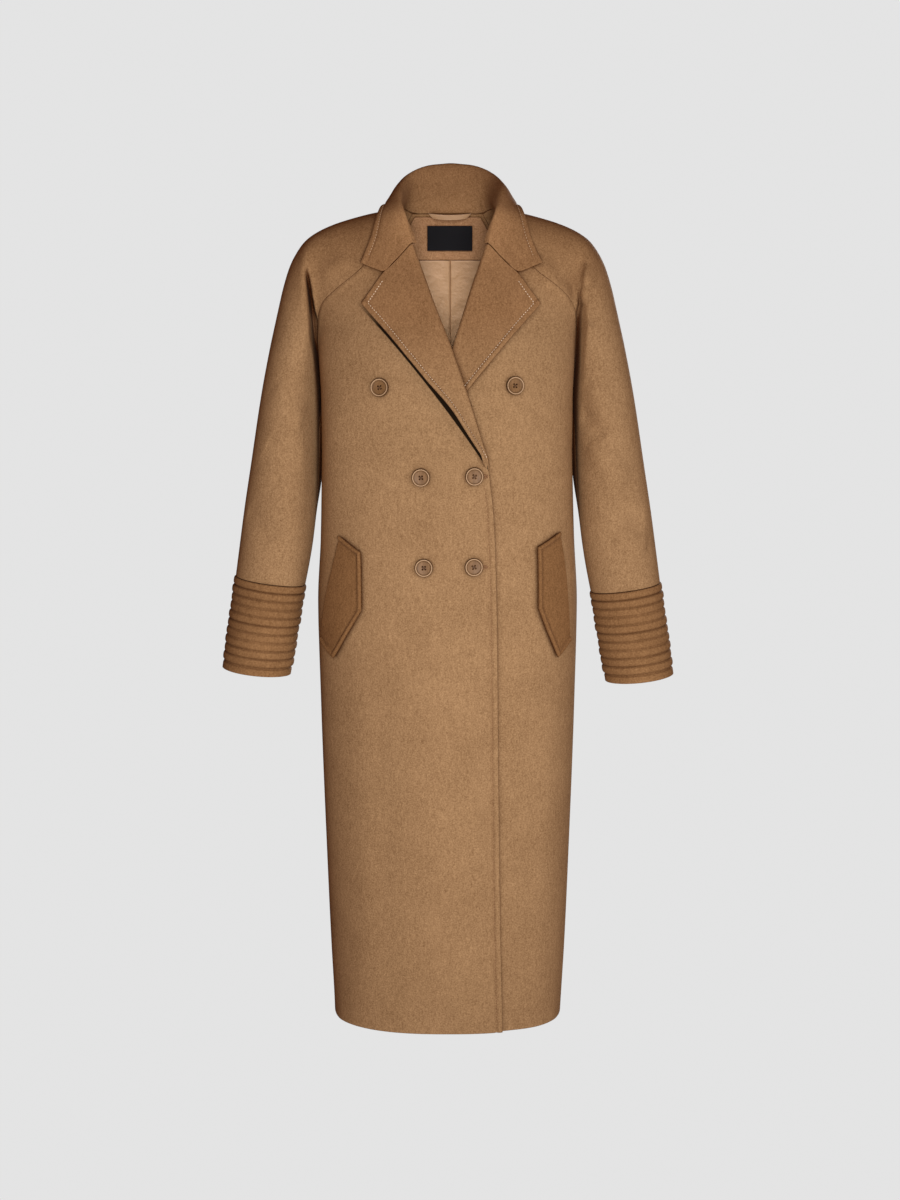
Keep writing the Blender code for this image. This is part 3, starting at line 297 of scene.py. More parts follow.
def ease(share: Points | float) -> Points:
    """A soft step from 0 to 1."""
    share = np.clip(share, 0, 1)
    return share * share * (3 - 2 * share)


def unit(vectors: Points) -> Points:
    """The vectors, each made one long."""
    return vectors / np.maximum(np.linalg.norm(vectors, axis=-1, keepdims=True), 1e-12)


def bell(distance: Points, width: float) -> Points:
    """A bell curve that is 1 at no distance and almost nothing at two widths."""
    return np.exp(-((distance / width) ** 2))


def bezier(start: Points, first: Points, second: Points, end: Points, shares: Points) -> Points:
    """Points of cubic curves with two handles, one curve for each row.

    Args:
        start: Starts of the curves, in rows, as their handles and ends are.
        first: First handles.
        second: Second handles.
        end: Ends.
        shares: Shares along the curves.

    Returns:
        The points, a row for each curve.
    """
    t = shares[None, :, None]
    return (
        start[:, None] * (1 - t) ** 3
        + 3 * first[:, None] * t * (1 - t) ** 2
        + 3 * second[:, None] * t**2 * (1 - t)
        + end[:, None] * t**3
    )


def lengths(points: Points, axis: int = 0) -> Points:
    """Length run along an axis of a line or grid of points, from nothing at its start.

    Args:
        points: The points.
        axis: The axis to run along.

    Returns:
        The length up to each point.
    """
    steps = np.linalg.norm(np.diff(points, axis=axis), axis=-1)
    start = np.zeros_like(np.take(steps, [0], axis))
    return np.concatenate([start, np.cumsum(steps, axis=axis)], axis=axis)


def circle(count: int) -> Points:
    """Turns at even steps round a full circle, in radians."""
    return np.linspace(0, 2 * math.pi, count, endpoint=False)


def grid_faces(rows: int, columns: int, around: bool = False, along: bool = False) -> Faces:
    """Four-cornered faces between the neighbours of a grid of corners, which are counted row by row.

    Args:
        rows: Number of rows.
        columns: Number of columns.
        around: Whether the last column joins the first one.
        along: Whether the last row joins the first one.

    Returns:
        The faces, each from a corner across, down and back.
    """
    index = np.arange(rows * columns).reshape(rows, columns)
    beside, below = np.roll(index, -1, axis=1), np.roll(index, -1, axis=0)
    faces = np.stack([index, beside, np.roll(below, -1, axis=1), below], axis=-1)
    return faces[: rows - (not along), : columns - (not around)].reshape(-1, 4)


def flipped(faces: Faces) -> Faces:
    """The faces turned to face the other way, from the same first corners."""
    return faces[:, [0, 3, 2, 1]]


def mark(piece: bpy.types.Object, name: str, values: Points) -> None:
    """Keeps a value for each corner of a piece, which its material reads by that name."""
    attribute = piece.data.attributes.new(name, "FLOAT", "POINT")
    attribute.data.foreach_set("value", values.astype(np.float32).ravel())


def spline(knots: Points, values: Points, at: Points) -> Points:
    """A natural cubic spline: cubic steps whose slope and bend run on through every knot.

    Args:
        knots: Rising keys.
        values: Values at the knots, along their first axis.
        at: Keys to read the spline at.

    Returns:
        The values at those keys.
    """
    count = len(knots)
    steps = np.diff(knots)
    flat = values.reshape(count, -1)
    inner = np.arange(1, count - 1)
    system = np.eye(count)
    system[inner, inner - 1] = steps[:-1]
    system[inner, inner] = 2 * (steps[:-1] + steps[1:])
    system[inner, inner + 1] = steps[1:]
    right = np.zeros_like(flat)
    right[1:-1] = 6 * np.diff(np.diff(flat, axis=0) / steps[:, None], axis=0)
    bend = np.linalg.solve(system, right)
    index = np.clip(np.searchsorted(knots, at, side="right") - 1, 0, count - 2)
    step = steps[index][:, None]
    after = ((at - knots[index]) / steps[index])[:, None]
    before = 1 - after
    curved = (before**3 - before) * bend[index] + (after**3 - after) * bend[index + 1]
    found = before * flat[index] + after * flat[index + 1] + curved * step**2 / 6
    return found.reshape((len(at),) + values.shape[1:])


def refined(points: Points, rows: Points, columns: Points) -> Points:
    """A finer grid: splines run through its columns and then through its rows.

    Args:
        points: The grid.
        rows: Shares of the way down the grid at which the new rows lie.
        columns: Shares of the way across it at which the new columns lie.

    Returns:
        The finer grid, which still goes through the points of the first one.
    """
    for axis, shares in ((0, rows), (1, columns)):
        turned = points.swapaxes(0, axis)
        run = lengths(turned[..., :3]).mean(axis=1)
        points = spline(run / run[-1], turned, shares).swapaxes(0, axis)
    return points


def resampled(line: Points, shares: Points) -> Points:
    """Points at shares of the length of a line.

    Args:
        line: The line's points, which may carry more than three columns.
        shares: The shares.

    Returns:
        The points, with as many columns.
    """
    run = lengths(line[:, :3])
    run = run / run[-1]
    return np.stack([np.interp(shares, run, column) for column in line.T], axis=-1)


def spaced(length: float, step: float, fine_step: float, zone: float, start: bool, end: bool) -> Points:
    """Shares along a length, closer together in a zone at the chosen ends.

    The spacing grows softly from the fine step to the full one, and the shares are read from its running sum.

    Args:
        length: The whole length.
        step: Spacing away from the ends.
        fine_step: Spacing in the zones.
        zone: Length of a zone.
        start: Whether there is a zone at the start.
        end: Whether there is a zone at the end.

    Returns:
        Shares from 0 to 1.
    """
    at = np.linspace(0, length, 4000)
    near = np.minimum(at if start else np.inf, length - at if end else np.inf)
    spacing = fine_step + (step - fine_step) * ease((near - zone) / zone)
    count = np.concatenate([[0.0], np.cumsum(np.diff(at) / spacing[1:])])
    return np.interp(np.linspace(0, count[-1], int(round(count[-1])) + 1), count, at) / length


def distance_to_line(points: Points, line: Points) -> tuple[Points, Points]:
    """Distance of points from a line through a few points, and the share along it of the nearest place.

    Args:
        points: The points, in rows.
        line: The few points of the line.

    Returns:
        The distances and the shares.
    """
    nearest = np.full(len(points), np.inf)
    share = np.zeros(len(points))
    run = lengths(line)
    for number, (start, end) in enumerate(zip(line, line[1:])):
        along = end - start
        t = np.clip((points - start) @ along / (along @ along), 0, 1)
        gap = np.linalg.norm(points - start - t[:, None] * along, axis=1)
        closer = gap < nearest
        nearest = np.where(closer, gap, nearest)
        share = np.where(closer, (run[number] + t * (run[number + 1] - run[number])) / run[-1], share)
    return nearest, share


@dataclass
class Skin:
    """A grid of points with their outward normals."""

    points: Points
    normals: Points

    def out(self, amount: Points | float) -> "Skin":
        """The skin moved out along its normals."""
        amount = np.broadcast_to(amount, self.points.shape[:2])
        return Skin(self.points + self.normals * amount[..., None], self.normals)

    def both(self) -> Points:
        """Points and normals side by side, in six columns."""
        return np.concatenate([self.points, self.normals], axis=-1)

    def from_edge(self, edge: Edge) -> Points:
        """Length from an edge to each point, along the grid."""
        turned = edge.turned(self.points)
        return edge.turned_back(lengths(turned[:, ::-1], 1)[:, ::-1])

    def inset(self, edge: Edge, distance: float) -> Points:
        """A line on the skin that follows an edge.

        Args:
            edge: The edge.
            distance: How far inside the edge the line runs.

        Returns:
            The line's points and normals, side by side.
        """
        turned = edge.turned(self.both())[:, ::-1]
        run = lengths(turned[..., :3], 1)
        before = np.clip(np.sum(run <= distance, axis=1) - 1, 0, run.shape[1] - 2)[:, None]
        low = np.take_along_axis(run, before, 1)
        high = np.take_along_axis(run, before + 1, 1)
        share = np.clip((distance - low) / np.maximum(high - low, 1e-9), 0, 1)[..., None]
        start = np.take_along_axis(turned, before[..., None], 1)
        end = np.take_along_axis(turned, before[..., None] + 1, 1)
        return (start * (1 - share) + end * share)[:, 0]

    def cut_size(self, closed: bool) -> tuple[float, float, float]:
        """Size of the flat cloth, at least 10 mm each way with its turnings.

        Args:
            closed: Whether the last column joins the first one.

        Returns:
            The width, the length and the area.
        """
        points = self.points
        if closed:
            points = np.concatenate([points, points[:, :1]], axis=1)
        width = max(lengths(points, 1)[:, -1].max(), LEAST_CUT)
        length = max(lengths(points, 0)[-1].max(), LEAST_CUT)
        sides = points[1:, :-1] - points[:-1, 1:], points[1:, 1:] - points[:-1, :-1]
        area = np.linalg.norm(np.cross(*sides), axis=-1).sum() / 2
        return float(width), float(length), float(min(area, width * length))


def grid_normals(points: Points, closed: bool = False) -> Points:
    """Unit normals of a grid: its slope across crossed with its slope along.

    Args:
        points: The grid.
        closed: Whether the last column joins the first one.

    Returns:
        The normals.
    """
    across = np.gradient(points, axis=1)
    if closed:
        across = np.roll(points, -1, axis=1) - np.roll(points, 1, axis=1)
    return unit(np.cross(across, np.gradient(points, axis=0)))


@dataclass(frozen=True)
class Form:
    """The body form that the fronts and the back lie on: a rounded-square section at each height."""

    squareness: float = 2.5
    slope_step: float = 0.004
    underlap_start: float = 0.006
    underlap_blend: float = 0.055

    def half_width(self, height: Points) -> Points:
        """Half the width of the section at a height."""
        return BODY.curve("half_width", height)

    def depth(self, height: Points, face: Face) -> Points:
        """Depth of the section in front of the middle or behind it."""
        return BODY.curve("front_depth" if face is Face.FRONT else "back_depth", height)

    def turn_of(self, x: Points, height: Points) -> Points:
        """The turn round the section, in radians, of a sideways place."""
        share = np.minimum(np.abs(x) / self.half_width(height), 1.0)
        return np.sign(x) * np.arcsin(share ** (self.squareness / 2))

    def skin(self, turn: Points, height: Points, face: Face) -> Skin:
        """Points of the form, and normals from the slope of its section equation.

        Args:
            turn: Turn round the section from its middle, in radians.
            height: Height of each point.
            face: Front or back.

        Returns:
            The points and their outward normals.
        """
        turn, height = np.broadcast_arrays(np.asarray(turn, float), np.asarray(height, float))
        power = self.squareness
        sine, cosine = np.sin(turn), np.maximum(np.cos(turn), 0)
        width, reach = self.half_width(height), self.depth(height, face)
        x = width * np.sign(sine) * np.abs(sine) ** (2 / power)
        y = face.value * reach * cosine ** (2 / power)
        step = self.slope_step
        width_slope = (self.half_width(height + step) - self.half_width(height - step)) / (2 * step)
        reach_slope = (self.depth(height + step, face) - self.depth(height - step, face)) / (2 * step)
        across = np.abs(x) ** (power - 1) * np.sign(x) / width**power
        along = np.abs(y) ** (power - 1) * face.value / reach**power
        width_part = np.abs(x) ** power * width_slope / width ** (power + 1)
        reach_part = np.abs(y) ** power * reach_slope / reach ** (power + 1)
        normals = unit(np.stack([across, along, -width_part - reach_part], axis=-1))
        return Skin(np.stack([x, y, height], axis=-1), normals)

    def edge(self, side: Side, height: Points) -> Points:
        """How far a front reaches past the middle at a height."""
        return (OUTER_EDGE if side is Side.RIGHT else INNER_EDGE).curve("reach", height)

    def pressed_in(self, x: Points, height: Points) -> Points:
        """How far the under front lies behind the form at a place."""
        past = x - self.edge(Side.RIGHT, height) - self.underlap_start
        return UNDERLAP.curve("depth", height) * (1 - ease(past / self.underlap_blend))

    def front(self, x: Points, height: Points, side: Side) -> Skin:
        """A front's outer skin.

        Args:
            x: Sideways places.
            height: Their heights.
            side: The front's side.

        Returns:
            The skin there.
        """
        x, height = np.broadcast_arrays(np.asarray(x, float), np.asarray(height, float))
        skin = self.skin(self.turn_of(x, height), height, Face.FRONT)
        if side is Side.LEFT:
            skin = Skin(skin.points - skin.normals * self.pressed_in(x, height)[..., None], skin.normals)
        return skin


FORM = Form()


class Wire:
    """An output socket of a shader's nodes. Sums and products of wires add Math nodes."""

    def __init__(self, graph: "Graph", socket: bpy.types.NodeSocket) -> None:
        """Keeps the socket and the graph that it is part of."""
        self.graph = graph
        self.socket = socket

    def _math(self, operation: str, first: "Wire | float", second: "Wire | float") -> "Wire":
        """A Math node on two values."""
        return self.graph.node("ShaderNodeMath", {"operation": operation}, {0: first, 1: second})

    def __add__(self, other: "Wire | float") -> "Wire":
        """The sum of two values."""
        return self._math("ADD", self, other)

    def __sub__(self, other: "Wire | float") -> "Wire":
        """The difference of two values."""
        return self._math("SUBTRACT", self, other)

    def __rsub__(self, other: float) -> "Wire":
        """A number less a value."""
        return self._math("SUBTRACT", other, self)

    def __mul__(self, other: "Wire | float") -> "Wire":
        """The product of two values."""
        return self._math("MULTIPLY", self, other)

    __radd__ = __add__
    __rmul__ = __mul__


class Graph:
    """The nodes of one material."""

    def __init__(self, name: str) -> None:
        """Starts an empty material.

        Args:
            name: Its name.
        """
        self.material = bpy.data.materials.new(name)
        self.material.use_nodes = True
        self.tree = self.material.node_tree
        self.tree.nodes.clear()

    def node(
        self, kind: str, settings: dict[str, object] | None = None,
        inputs: dict[int | str, object] | None = None, output: int = 0,
    ) -> Wire:
        """Adds a node.

        Args:
            kind: Blender's name for the type of node.
            settings: The node's own settings, which are made first.
            inputs: A value or a wire for each input, by its number or name.
            output: Number of the output that is wanted.

        Returns:
            A wire from that output.
        """
        made = self.tree.nodes.new(kind)
        for name, value in (settings or {}).items():
            setattr(made, name, value)
        for name, value in (inputs or {}).items():
            if isinstance(value, Wire):
                self.tree.links.new(value.socket, made.inputs[name])
            else:
                made.inputs[name].default_value = value
        return Wire(self, made.outputs[output])

    def place(self, stretch: Colour = (1.0, 1.0, 1.0)) -> Wire:
        """Object coordinates in metres, stretched along the axes."""
        spot = self.node("ShaderNodeTexCoord", output=3)
        return self.node("ShaderNodeMapping", {}, {"Vector": spot, "Scale": stretch})

    def axis(self, number: int) -> Wire:
        """One of the object coordinates: 0 across, 1 into the coat, 2 up."""
        return self.node("ShaderNodeSeparateXYZ", {}, {"Vector": self.place()}, output=number)

    def noise(self, place: Wire, size: float, detail: float = 2.0, roughness: float = 0.5) -> Wire:
        """Cloudy noise from 0 to 1 whose blotches are about a size across."""
        values = {"Vector": place, "Scale": 1.0 / size, "Detail": detail, "Roughness": roughness}
        return self.node("ShaderNodeTexNoise", {}, values)

    def bands(self, direction: str, scale: float, distortion: float = 0.0, detail: float = 2.0) -> Wire:
        """Soft ribs from 0 to 1, one after the other in a direction."""
        values = {"Vector": self.place(), "Scale": scale, "Distortion": distortion, "Detail": detail}
        return self.node("ShaderNodeTexWave", {"bands_direction": direction}, values, output=1)

    def marked(self, name: str) -> Wire:
        """The value that is marked on the piece's corners by a name."""
        return self.node("ShaderNodeAttribute", {"attribute_name": name}, output=2)

    def mix(self, factor: Wire | float, first: Wire | Colour, second: Wire | Colour) -> Wire:
        """A colour between two colours.

        Args:
            factor: Share of the second colour.
            first: First colour.
            second: Second colour.

        Returns:
            A wire from the mixed colour.
        """
        ends = [value if isinstance(value, Wire) else (*value, 1.0) for value in (first, second)]
        inputs = {0: factor, 6: ends[0], 7: ends[1]}
        return self.node("ShaderNodeMix", {"data_type": "RGBA"}, inputs, output=2)

    def bump(self, height: Wire, strength: float, distance: float) -> Wire:
        """Normals of a small relief."""
        return self.node("ShaderNodeBump", {}, {"Height": height, "Strength": strength, "Distance": distance})

    def surface(self, **inputs: object) -> Wire:
        """A Principled surface. Names of inputs are written with _ for a space."""
        named = {name.replace("_", " "): value for name, value in inputs.items()}
        return self.node("ShaderNodeBsdfPrincipled", {}, named)

    def painted_shade_openness(self, reach: float) -> Wire:
        """How open a place is to what is round it within a reach, 0 in seams and under edges: the mask of
        painted shade.
        """
        near = self.node("ShaderNodeAmbientOcclusion", {"samples": 6}, {"Distance": reach}, output=1)
        return self.ramp(near, 0.30, 0.95)

    def ramp(self, value: Wire, low: float, high: float) -> Wire:
        """A value that goes from 0 at low to 1 at high, and stays there."""
        return self.node("ShaderNodeMapRange", {}, {0: value, 1: low, 2: high})

    def done(self, surface: Wire) -> bpy.types.Material:
        """The material with its surface joined to the output."""
        self.tree.links.new(surface.socket, self.tree.nodes.new("ShaderNodeOutputMaterial").inputs["Surface"])
        return self.material


def shaded(colour: Colour, amount: float) -> Colour:
    """A colour made lighter or darker, warmer as it darkens: the cloth's own dark and light flecks, and the
    colour of painted shade.
    """
    warm = (1.0, 1.12, 1.25)
    return tuple(max(value * (1 + amount * pull), 0.0) for value, pull in zip(colour, warm))


SATIN_COLOUR = (0.465, 0.270, 0.138)
GAP_SHADE = (0.014, 0.008, 0.004)


def satin_surface(graph: Graph, colour: Colour) -> Wire:
    """Lining satin: a fine twill rib, faint clouds of tone, painted shade in its creases and a soft gloss.

    Args:
        graph: Nodes to add it to.
        colour: Its colour.

    Returns:
        A wire from the surface.
    """
    place = graph.place()
    rib = graph.bands("DIAGONAL", 260.0, 1.5, 1.0)
    cloud = graph.noise(place, 0.05, 3.0)
    tone = graph.mix(0.35 * rib + 0.65 * cloud, shaded(colour, -0.10), shaded(colour, 0.10))
    # Painted shade: the satin darkens in its creases and seams.
    tone = graph.mix(graph.painted_shade_openness(0.004), shaded(colour, -0.7), tone)
    relief = graph.bump(0.05 * rib + 1.5 * graph.noise(place, 0.016, 4.0, 0.6), 0.5, 0.0040)
    return graph.surface(
        Base_Color=tone, Roughness=0.48 - 0.12 * cloud, Normal=relief,
        Sheen_Weight=0.10, Specular_IOR_Level=0.35,
    )


@dataclass(frozen=True)
class Wool:
    """Brushed wool: fine flecks, streaks of the nap down the cloth, clouds of tone, a felted relief and
    painted shade.
    """

    name: str
    slot: str
    colour: Colour
    fleck: float = 0.24
    streak: float = 0.07
    cloud: float = 0.05
    # A darker colour toward the top: painted shade where the light falls off on the shoulders, and on the
    # lapels partly the nap as well.
    upper: Colour | None = None
    upper_from: float = -0.160
    upper_to: float = -0.030
    # Whether a painted shadow lies beside the outer lapel's edge.
    painted_lapel_shadow: bool = False

    def _flecked(self, graph: Graph, colour: Colour, spread: Wire) -> Wire:
        """A colour that goes from its dark to its light flecks."""
        total = self.fleck + self.streak + self.cloud
        return graph.mix(spread, shaded(colour, -1.15 * total), shaded(colour, total))

    def _lapel_shadow_share(self, graph: Graph) -> Wire:
        """Share of painted shadow under the outer lapel's edge, whose sideways place is a cubic of its
        height.

        Args:
            graph: Nodes to add it to.

        Returns:
            The share, from 0 to 1.
        """
        across = graph.axis(0)
        height = graph.axis(2)
        edge = ((-0.578 * height - 1.0942) * height - 1.220) * height - 0.2676
        past = across - edge
        share = graph.ramp(past, -0.0008, 0.0004) * graph.ramp(past, 0.020, 0.017)
        return share * graph.ramp(height, -0.366, -0.356) * graph.ramp(height, -0.125, -0.160)

    def material(self) -> bpy.types.Material:
        """The wool, with satin on the skins that are marked as the coat's inside.

        Returns:
            The material.
        """
        graph = Graph(self.name)
        place = graph.place()
        down = graph.place((1.0, 1.0, 0.35))
        fleck = graph.noise(place, 0.0021, 3.0, 0.7)
        streak = graph.noise(down, 0.0040, 2.0, 0.6)
        cloud = graph.noise(place, 0.060, 3.0, 0.55)
        hair = graph.noise(down, 0.0010, 2.0, 0.7)
        total = self.fleck + self.streak + self.cloud
        blend = (self.fleck * fleck + self.streak * streak + self.cloud * cloud) * (1 / total)
        spread = graph.ramp(blend, 0.32, 0.68)
        tone = self._flecked(graph, self.colour, spread)
        # Painted shade: the colour goes to the darker one higher up.
        if self.upper is not None:
            share = graph.ramp(graph.axis(2), self.upper_from, self.upper_to)
            tone = graph.mix(share, tone, self._flecked(graph, self.upper, spread))
        # Painted shade: the colour darkens in seams, creases and under edges.
        tone = graph.mix(graph.painted_shade_openness(0.010), shaded(self.colour, -0.85), tone)
        # Painted shadow: a near-black band under the outer lapel's edge.
        if self.painted_lapel_shadow:
            tone = graph.mix(self._lapel_shadow_share(graph), tone, GAP_SHADE)
        relief = graph.bump(0.55 * fleck + 0.30 * hair + 0.35 * streak, 0.55, 0.0011)
        wool = graph.surface(
            Base_Color=tone, Roughness=0.97 - 0.10 * streak, Normal=relief, Specular_IOR_Level=0.05,
            Sheen_Weight=0.02, Sheen_Roughness=0.55, Sheen_Tint=(1.0, 0.80, 0.60, 1.0),
        )
        satin = satin_surface(graph, SATIN_COLOUR)
        both = {0: graph.marked("inside"), 1: wool, 2: satin}
        return graph.done(graph.node("ShaderNodeMixShader", {}, both))


@dataclass(frozen=True)
class Satin:
    """Lining satin."""

    name: str
    slot: str
    colour: Colour = SATIN_COLOUR

    def material(self) -> bpy.types.Material:
        """The satin on its own."""
        graph = Graph(self.name)
        return graph.done(satin_surface(graph, self.colour))


@dataclass(frozen=True)
class LabelCloth:
    """Black woven label: fine ribs across and a dull shine."""

    name: str
    slot: str
    colour: Colour = (0.0035, 0.003, 0.0042)

    def material(self) -> bpy.types.Material:
        """The label's weave.

        Returns:
            The material.
        """
        graph = Graph(self.name)
        rib = graph.bands("Z", 420.0)
        thread = graph.noise(graph.place(), 0.0012, 2.0)
        tone = graph.mix(0.5 * rib + 0.5 * thread, shaded(self.colour, -0.5), shaded(self.colour, 1.0))
        relief = graph.bump(0.6 * rib + 0.4 * thread, 0.4, 0.0003)
        return graph.done(
            graph.surface(Base_Color=tone, Roughness=0.85 - 0.2 * rib, Normal=relief, Specular_IOR_Level=0.2)
        )


@dataclass(frozen=True)
class Horn:
    """Polished brown horn: streaks of light and dark, a few pale flecks and a clear gloss, with a painted
    highlight on the rim and painted shade in the holes and round the edge.
    """

    name: str
    slot: str
    dark: Colour = (0.185, 0.094, 0.037)
    light: Colour = (0.300, 0.166, 0.073)
    # Painted highlight along the rim.
    pale: Colour = (0.640, 0.440, 0.270)

    def material(self) -> bpy.types.Material:
        """The horn's streaks and gloss.

        Returns:
            The material.
        """
        graph = Graph(self.name)
        streak = graph.noise(graph.place((1.0, 1.0, 0.35)), 0.0050, 4.0, 0.6)
        fleck = graph.noise(graph.place(), 0.0016, 2.0)
        spread = graph.ramp(0.75 * streak + 0.25 * fleck, 0.34, 0.66)
        tone = graph.mix(spread, self.dark, self.light)
        # Painted highlight: a pale band along the rim.
        tone = graph.mix(graph.marked("rim"), tone, self.pale)
        # Painted shade in the holes, inside the rim and round the edge.
        tone = graph.mix(graph.marked("painted_button_shade"), tone, GAP_SHADE)
        # Painted shade in hollows and under edges.
        tone = graph.mix(graph.painted_shade_openness(0.0022), shaded(self.dark, -0.8), tone)
        relief = graph.bump(fleck, 0.08, 0.0002)
        return graph.done(
            graph.surface(
                Base_Color=tone, Roughness=0.36 + 0.15 * fleck, Normal=relief, Specular_IOR_Level=0.16
            )
        )


@dataclass(frozen=True)
class Thread:
    """Sewing thread: a twist of two tones along it."""

    name: str
    slot: str
    colour: Colour

    def material(self) -> bpy.types.Material:
        """The thread's twist.

        Returns:
            The material.
        """
        graph = Graph(self.name)
        twist = graph.bands("DIAGONAL", 700.0)
        tone = graph.mix(twist, shaded(self.colour, -0.25), shaded(self.colour, 0.2))
        relief = graph.bump(twist, 0.3, 0.0002)
        return graph.done(graph.surface(Base_Color=tone, Roughness=0.75 - 0.1 * twist, Normal=relief))


Finish = Wool | Satin | LabelCloth | Horn | Thread

# The body's own wool colour. The yoke colour is painted shade toward the shoulders; the lapel colour and the
# darker cuff and flap wools are partly the nap and partly painted shade.
BODY_COLOUR = (0.393, 0.236, 0.117)
YOKE_PAINTED_SHADE = (0.352, 0.196, 0.090)
LAPEL_NAP_AND_SHADE = (0.330, 0.178, 0.081)
BODY_WOOL = Wool("coat_wool_brushed", "coat_wool", BODY_COLOUR, upper=YOKE_PAINTED_SHADE)
FRONT_WOOL = Wool("front_wool_brushed", "coat_wool", BODY_COLOUR, upper=YOKE_PAINTED_SHADE, painted_lapel_shadow=True)
LAPEL_WOOL = Wool(
    "lapel_wool_brushed", "coat_wool", BODY_COLOUR, upper=LAPEL_NAP_AND_SHADE, upper_from=-0.300, upper_to=-0.140
)
FACING_WOOL = Wool("facing_wool_brushed", "coat_wool", (0.410, 0.219, 0.109))
CUFF_WOOL = Wool("cuff_wool_brushed", "coat_wool", (0.308, 0.164, 0.071))
FLAP_WOOL = Wool("flap_wool_brushed", "flap_wool", (0.268, 0.137, 0.056))
LINING = Satin("lining_satin_twill", "lining_satin")
LABEL = LabelCloth("label_woven_black", "label_black")
HORN = Horn("button_horn_polished", "button_horn")
# One thread at two tones: on the lapels it is paler than on the collar, as a painted highlight where the
# stitches catch the light.
LAPEL_THREAD = Thread("lapel_thread", "coat_wool", (0.930, 0.740, 0.540))
COLLAR_THREAD = Thread("collar_thread", "coat_wool", (0.580, 0.390, 0.235))
SEWING_THREAD = Thread("sewing_thread", "coat_wool", (0.270, 0.128, 0.055))
BUTTON_THREAD = Thread("button_thread", "button_horn", (0.170, 0.085, 0.040))


@dataclass(frozen=True)
class Fold:
    """A soft trough or ridge in the cloth along a line: a bell across it that dies away at both ends."""

    line: Points
    width: float
    height: float
    way: Points

    def move(self, points: Points) -> Points:
        """How far the fold moves points."""
        distance, share = distance_to_line(points, self.line)
        return (self.height * bell(distance, self.width) * (1 - (2 * share - 1) ** 4))[:, None] * self.way


@dataclass
class Drape:
    """All the folds of the coat. Each moves whatever lies near it, on every layer alike."""

    folds: list[Fold] = field(default_factory=list)
    line_points: int = 7

    def on_body(self, face: Face, *rows: FoldRow) -> None:
        """Adds folds on the front or the back of the body.

        Args:
            face: Front or back.
            rows: For each fold its start and end, each a sideways place and a height, its width and its
                height, which is below 0 for a trough.
        """
        for start_x, start_z, end_x, end_z, width, height in rows:
            x = np.linspace(start_x, end_x, self.line_points)
            z = np.linspace(start_z, end_z, self.line_points)
            self._add(FORM.skin(FORM.turn_of(x, z), z, face), width, height)

    def on_skin(self, skin: Skin, *rows: FoldRow) -> None:
        """Adds folds on a panel, along the points of its grid that lie nearest to a line from start to end.

        Args:
            skin: The panel's grid.
            rows: The folds, as on the body.
        """
        points, normals = skin.points.reshape(-1, 3), skin.normals.reshape(-1, 3)
        for start_x, start_z, end_x, end_z, width, height in rows:
            places = np.linspace((start_x, start_z), (end_x, end_z), self.line_points)
            gaps = np.linalg.norm(points[None][..., [0, 2]] - places[:, None], axis=-1)
            nearest = gaps.argmin(axis=1)
            self._add(Skin(points[nearest], normals[nearest]), width, height)

    def _add(self, line: Skin, width: float, height: float) -> None:
        """Adds one fold along a line, out of the cloth or into it."""
        self.folds.append(Fold(line.points, width, height, unit(line.normals.mean(axis=0))))

    def moved(self, points: Points) -> Points:
        """The points moved by every fold."""
        return sum((fold.move(points) for fold in self.folds), start=points)


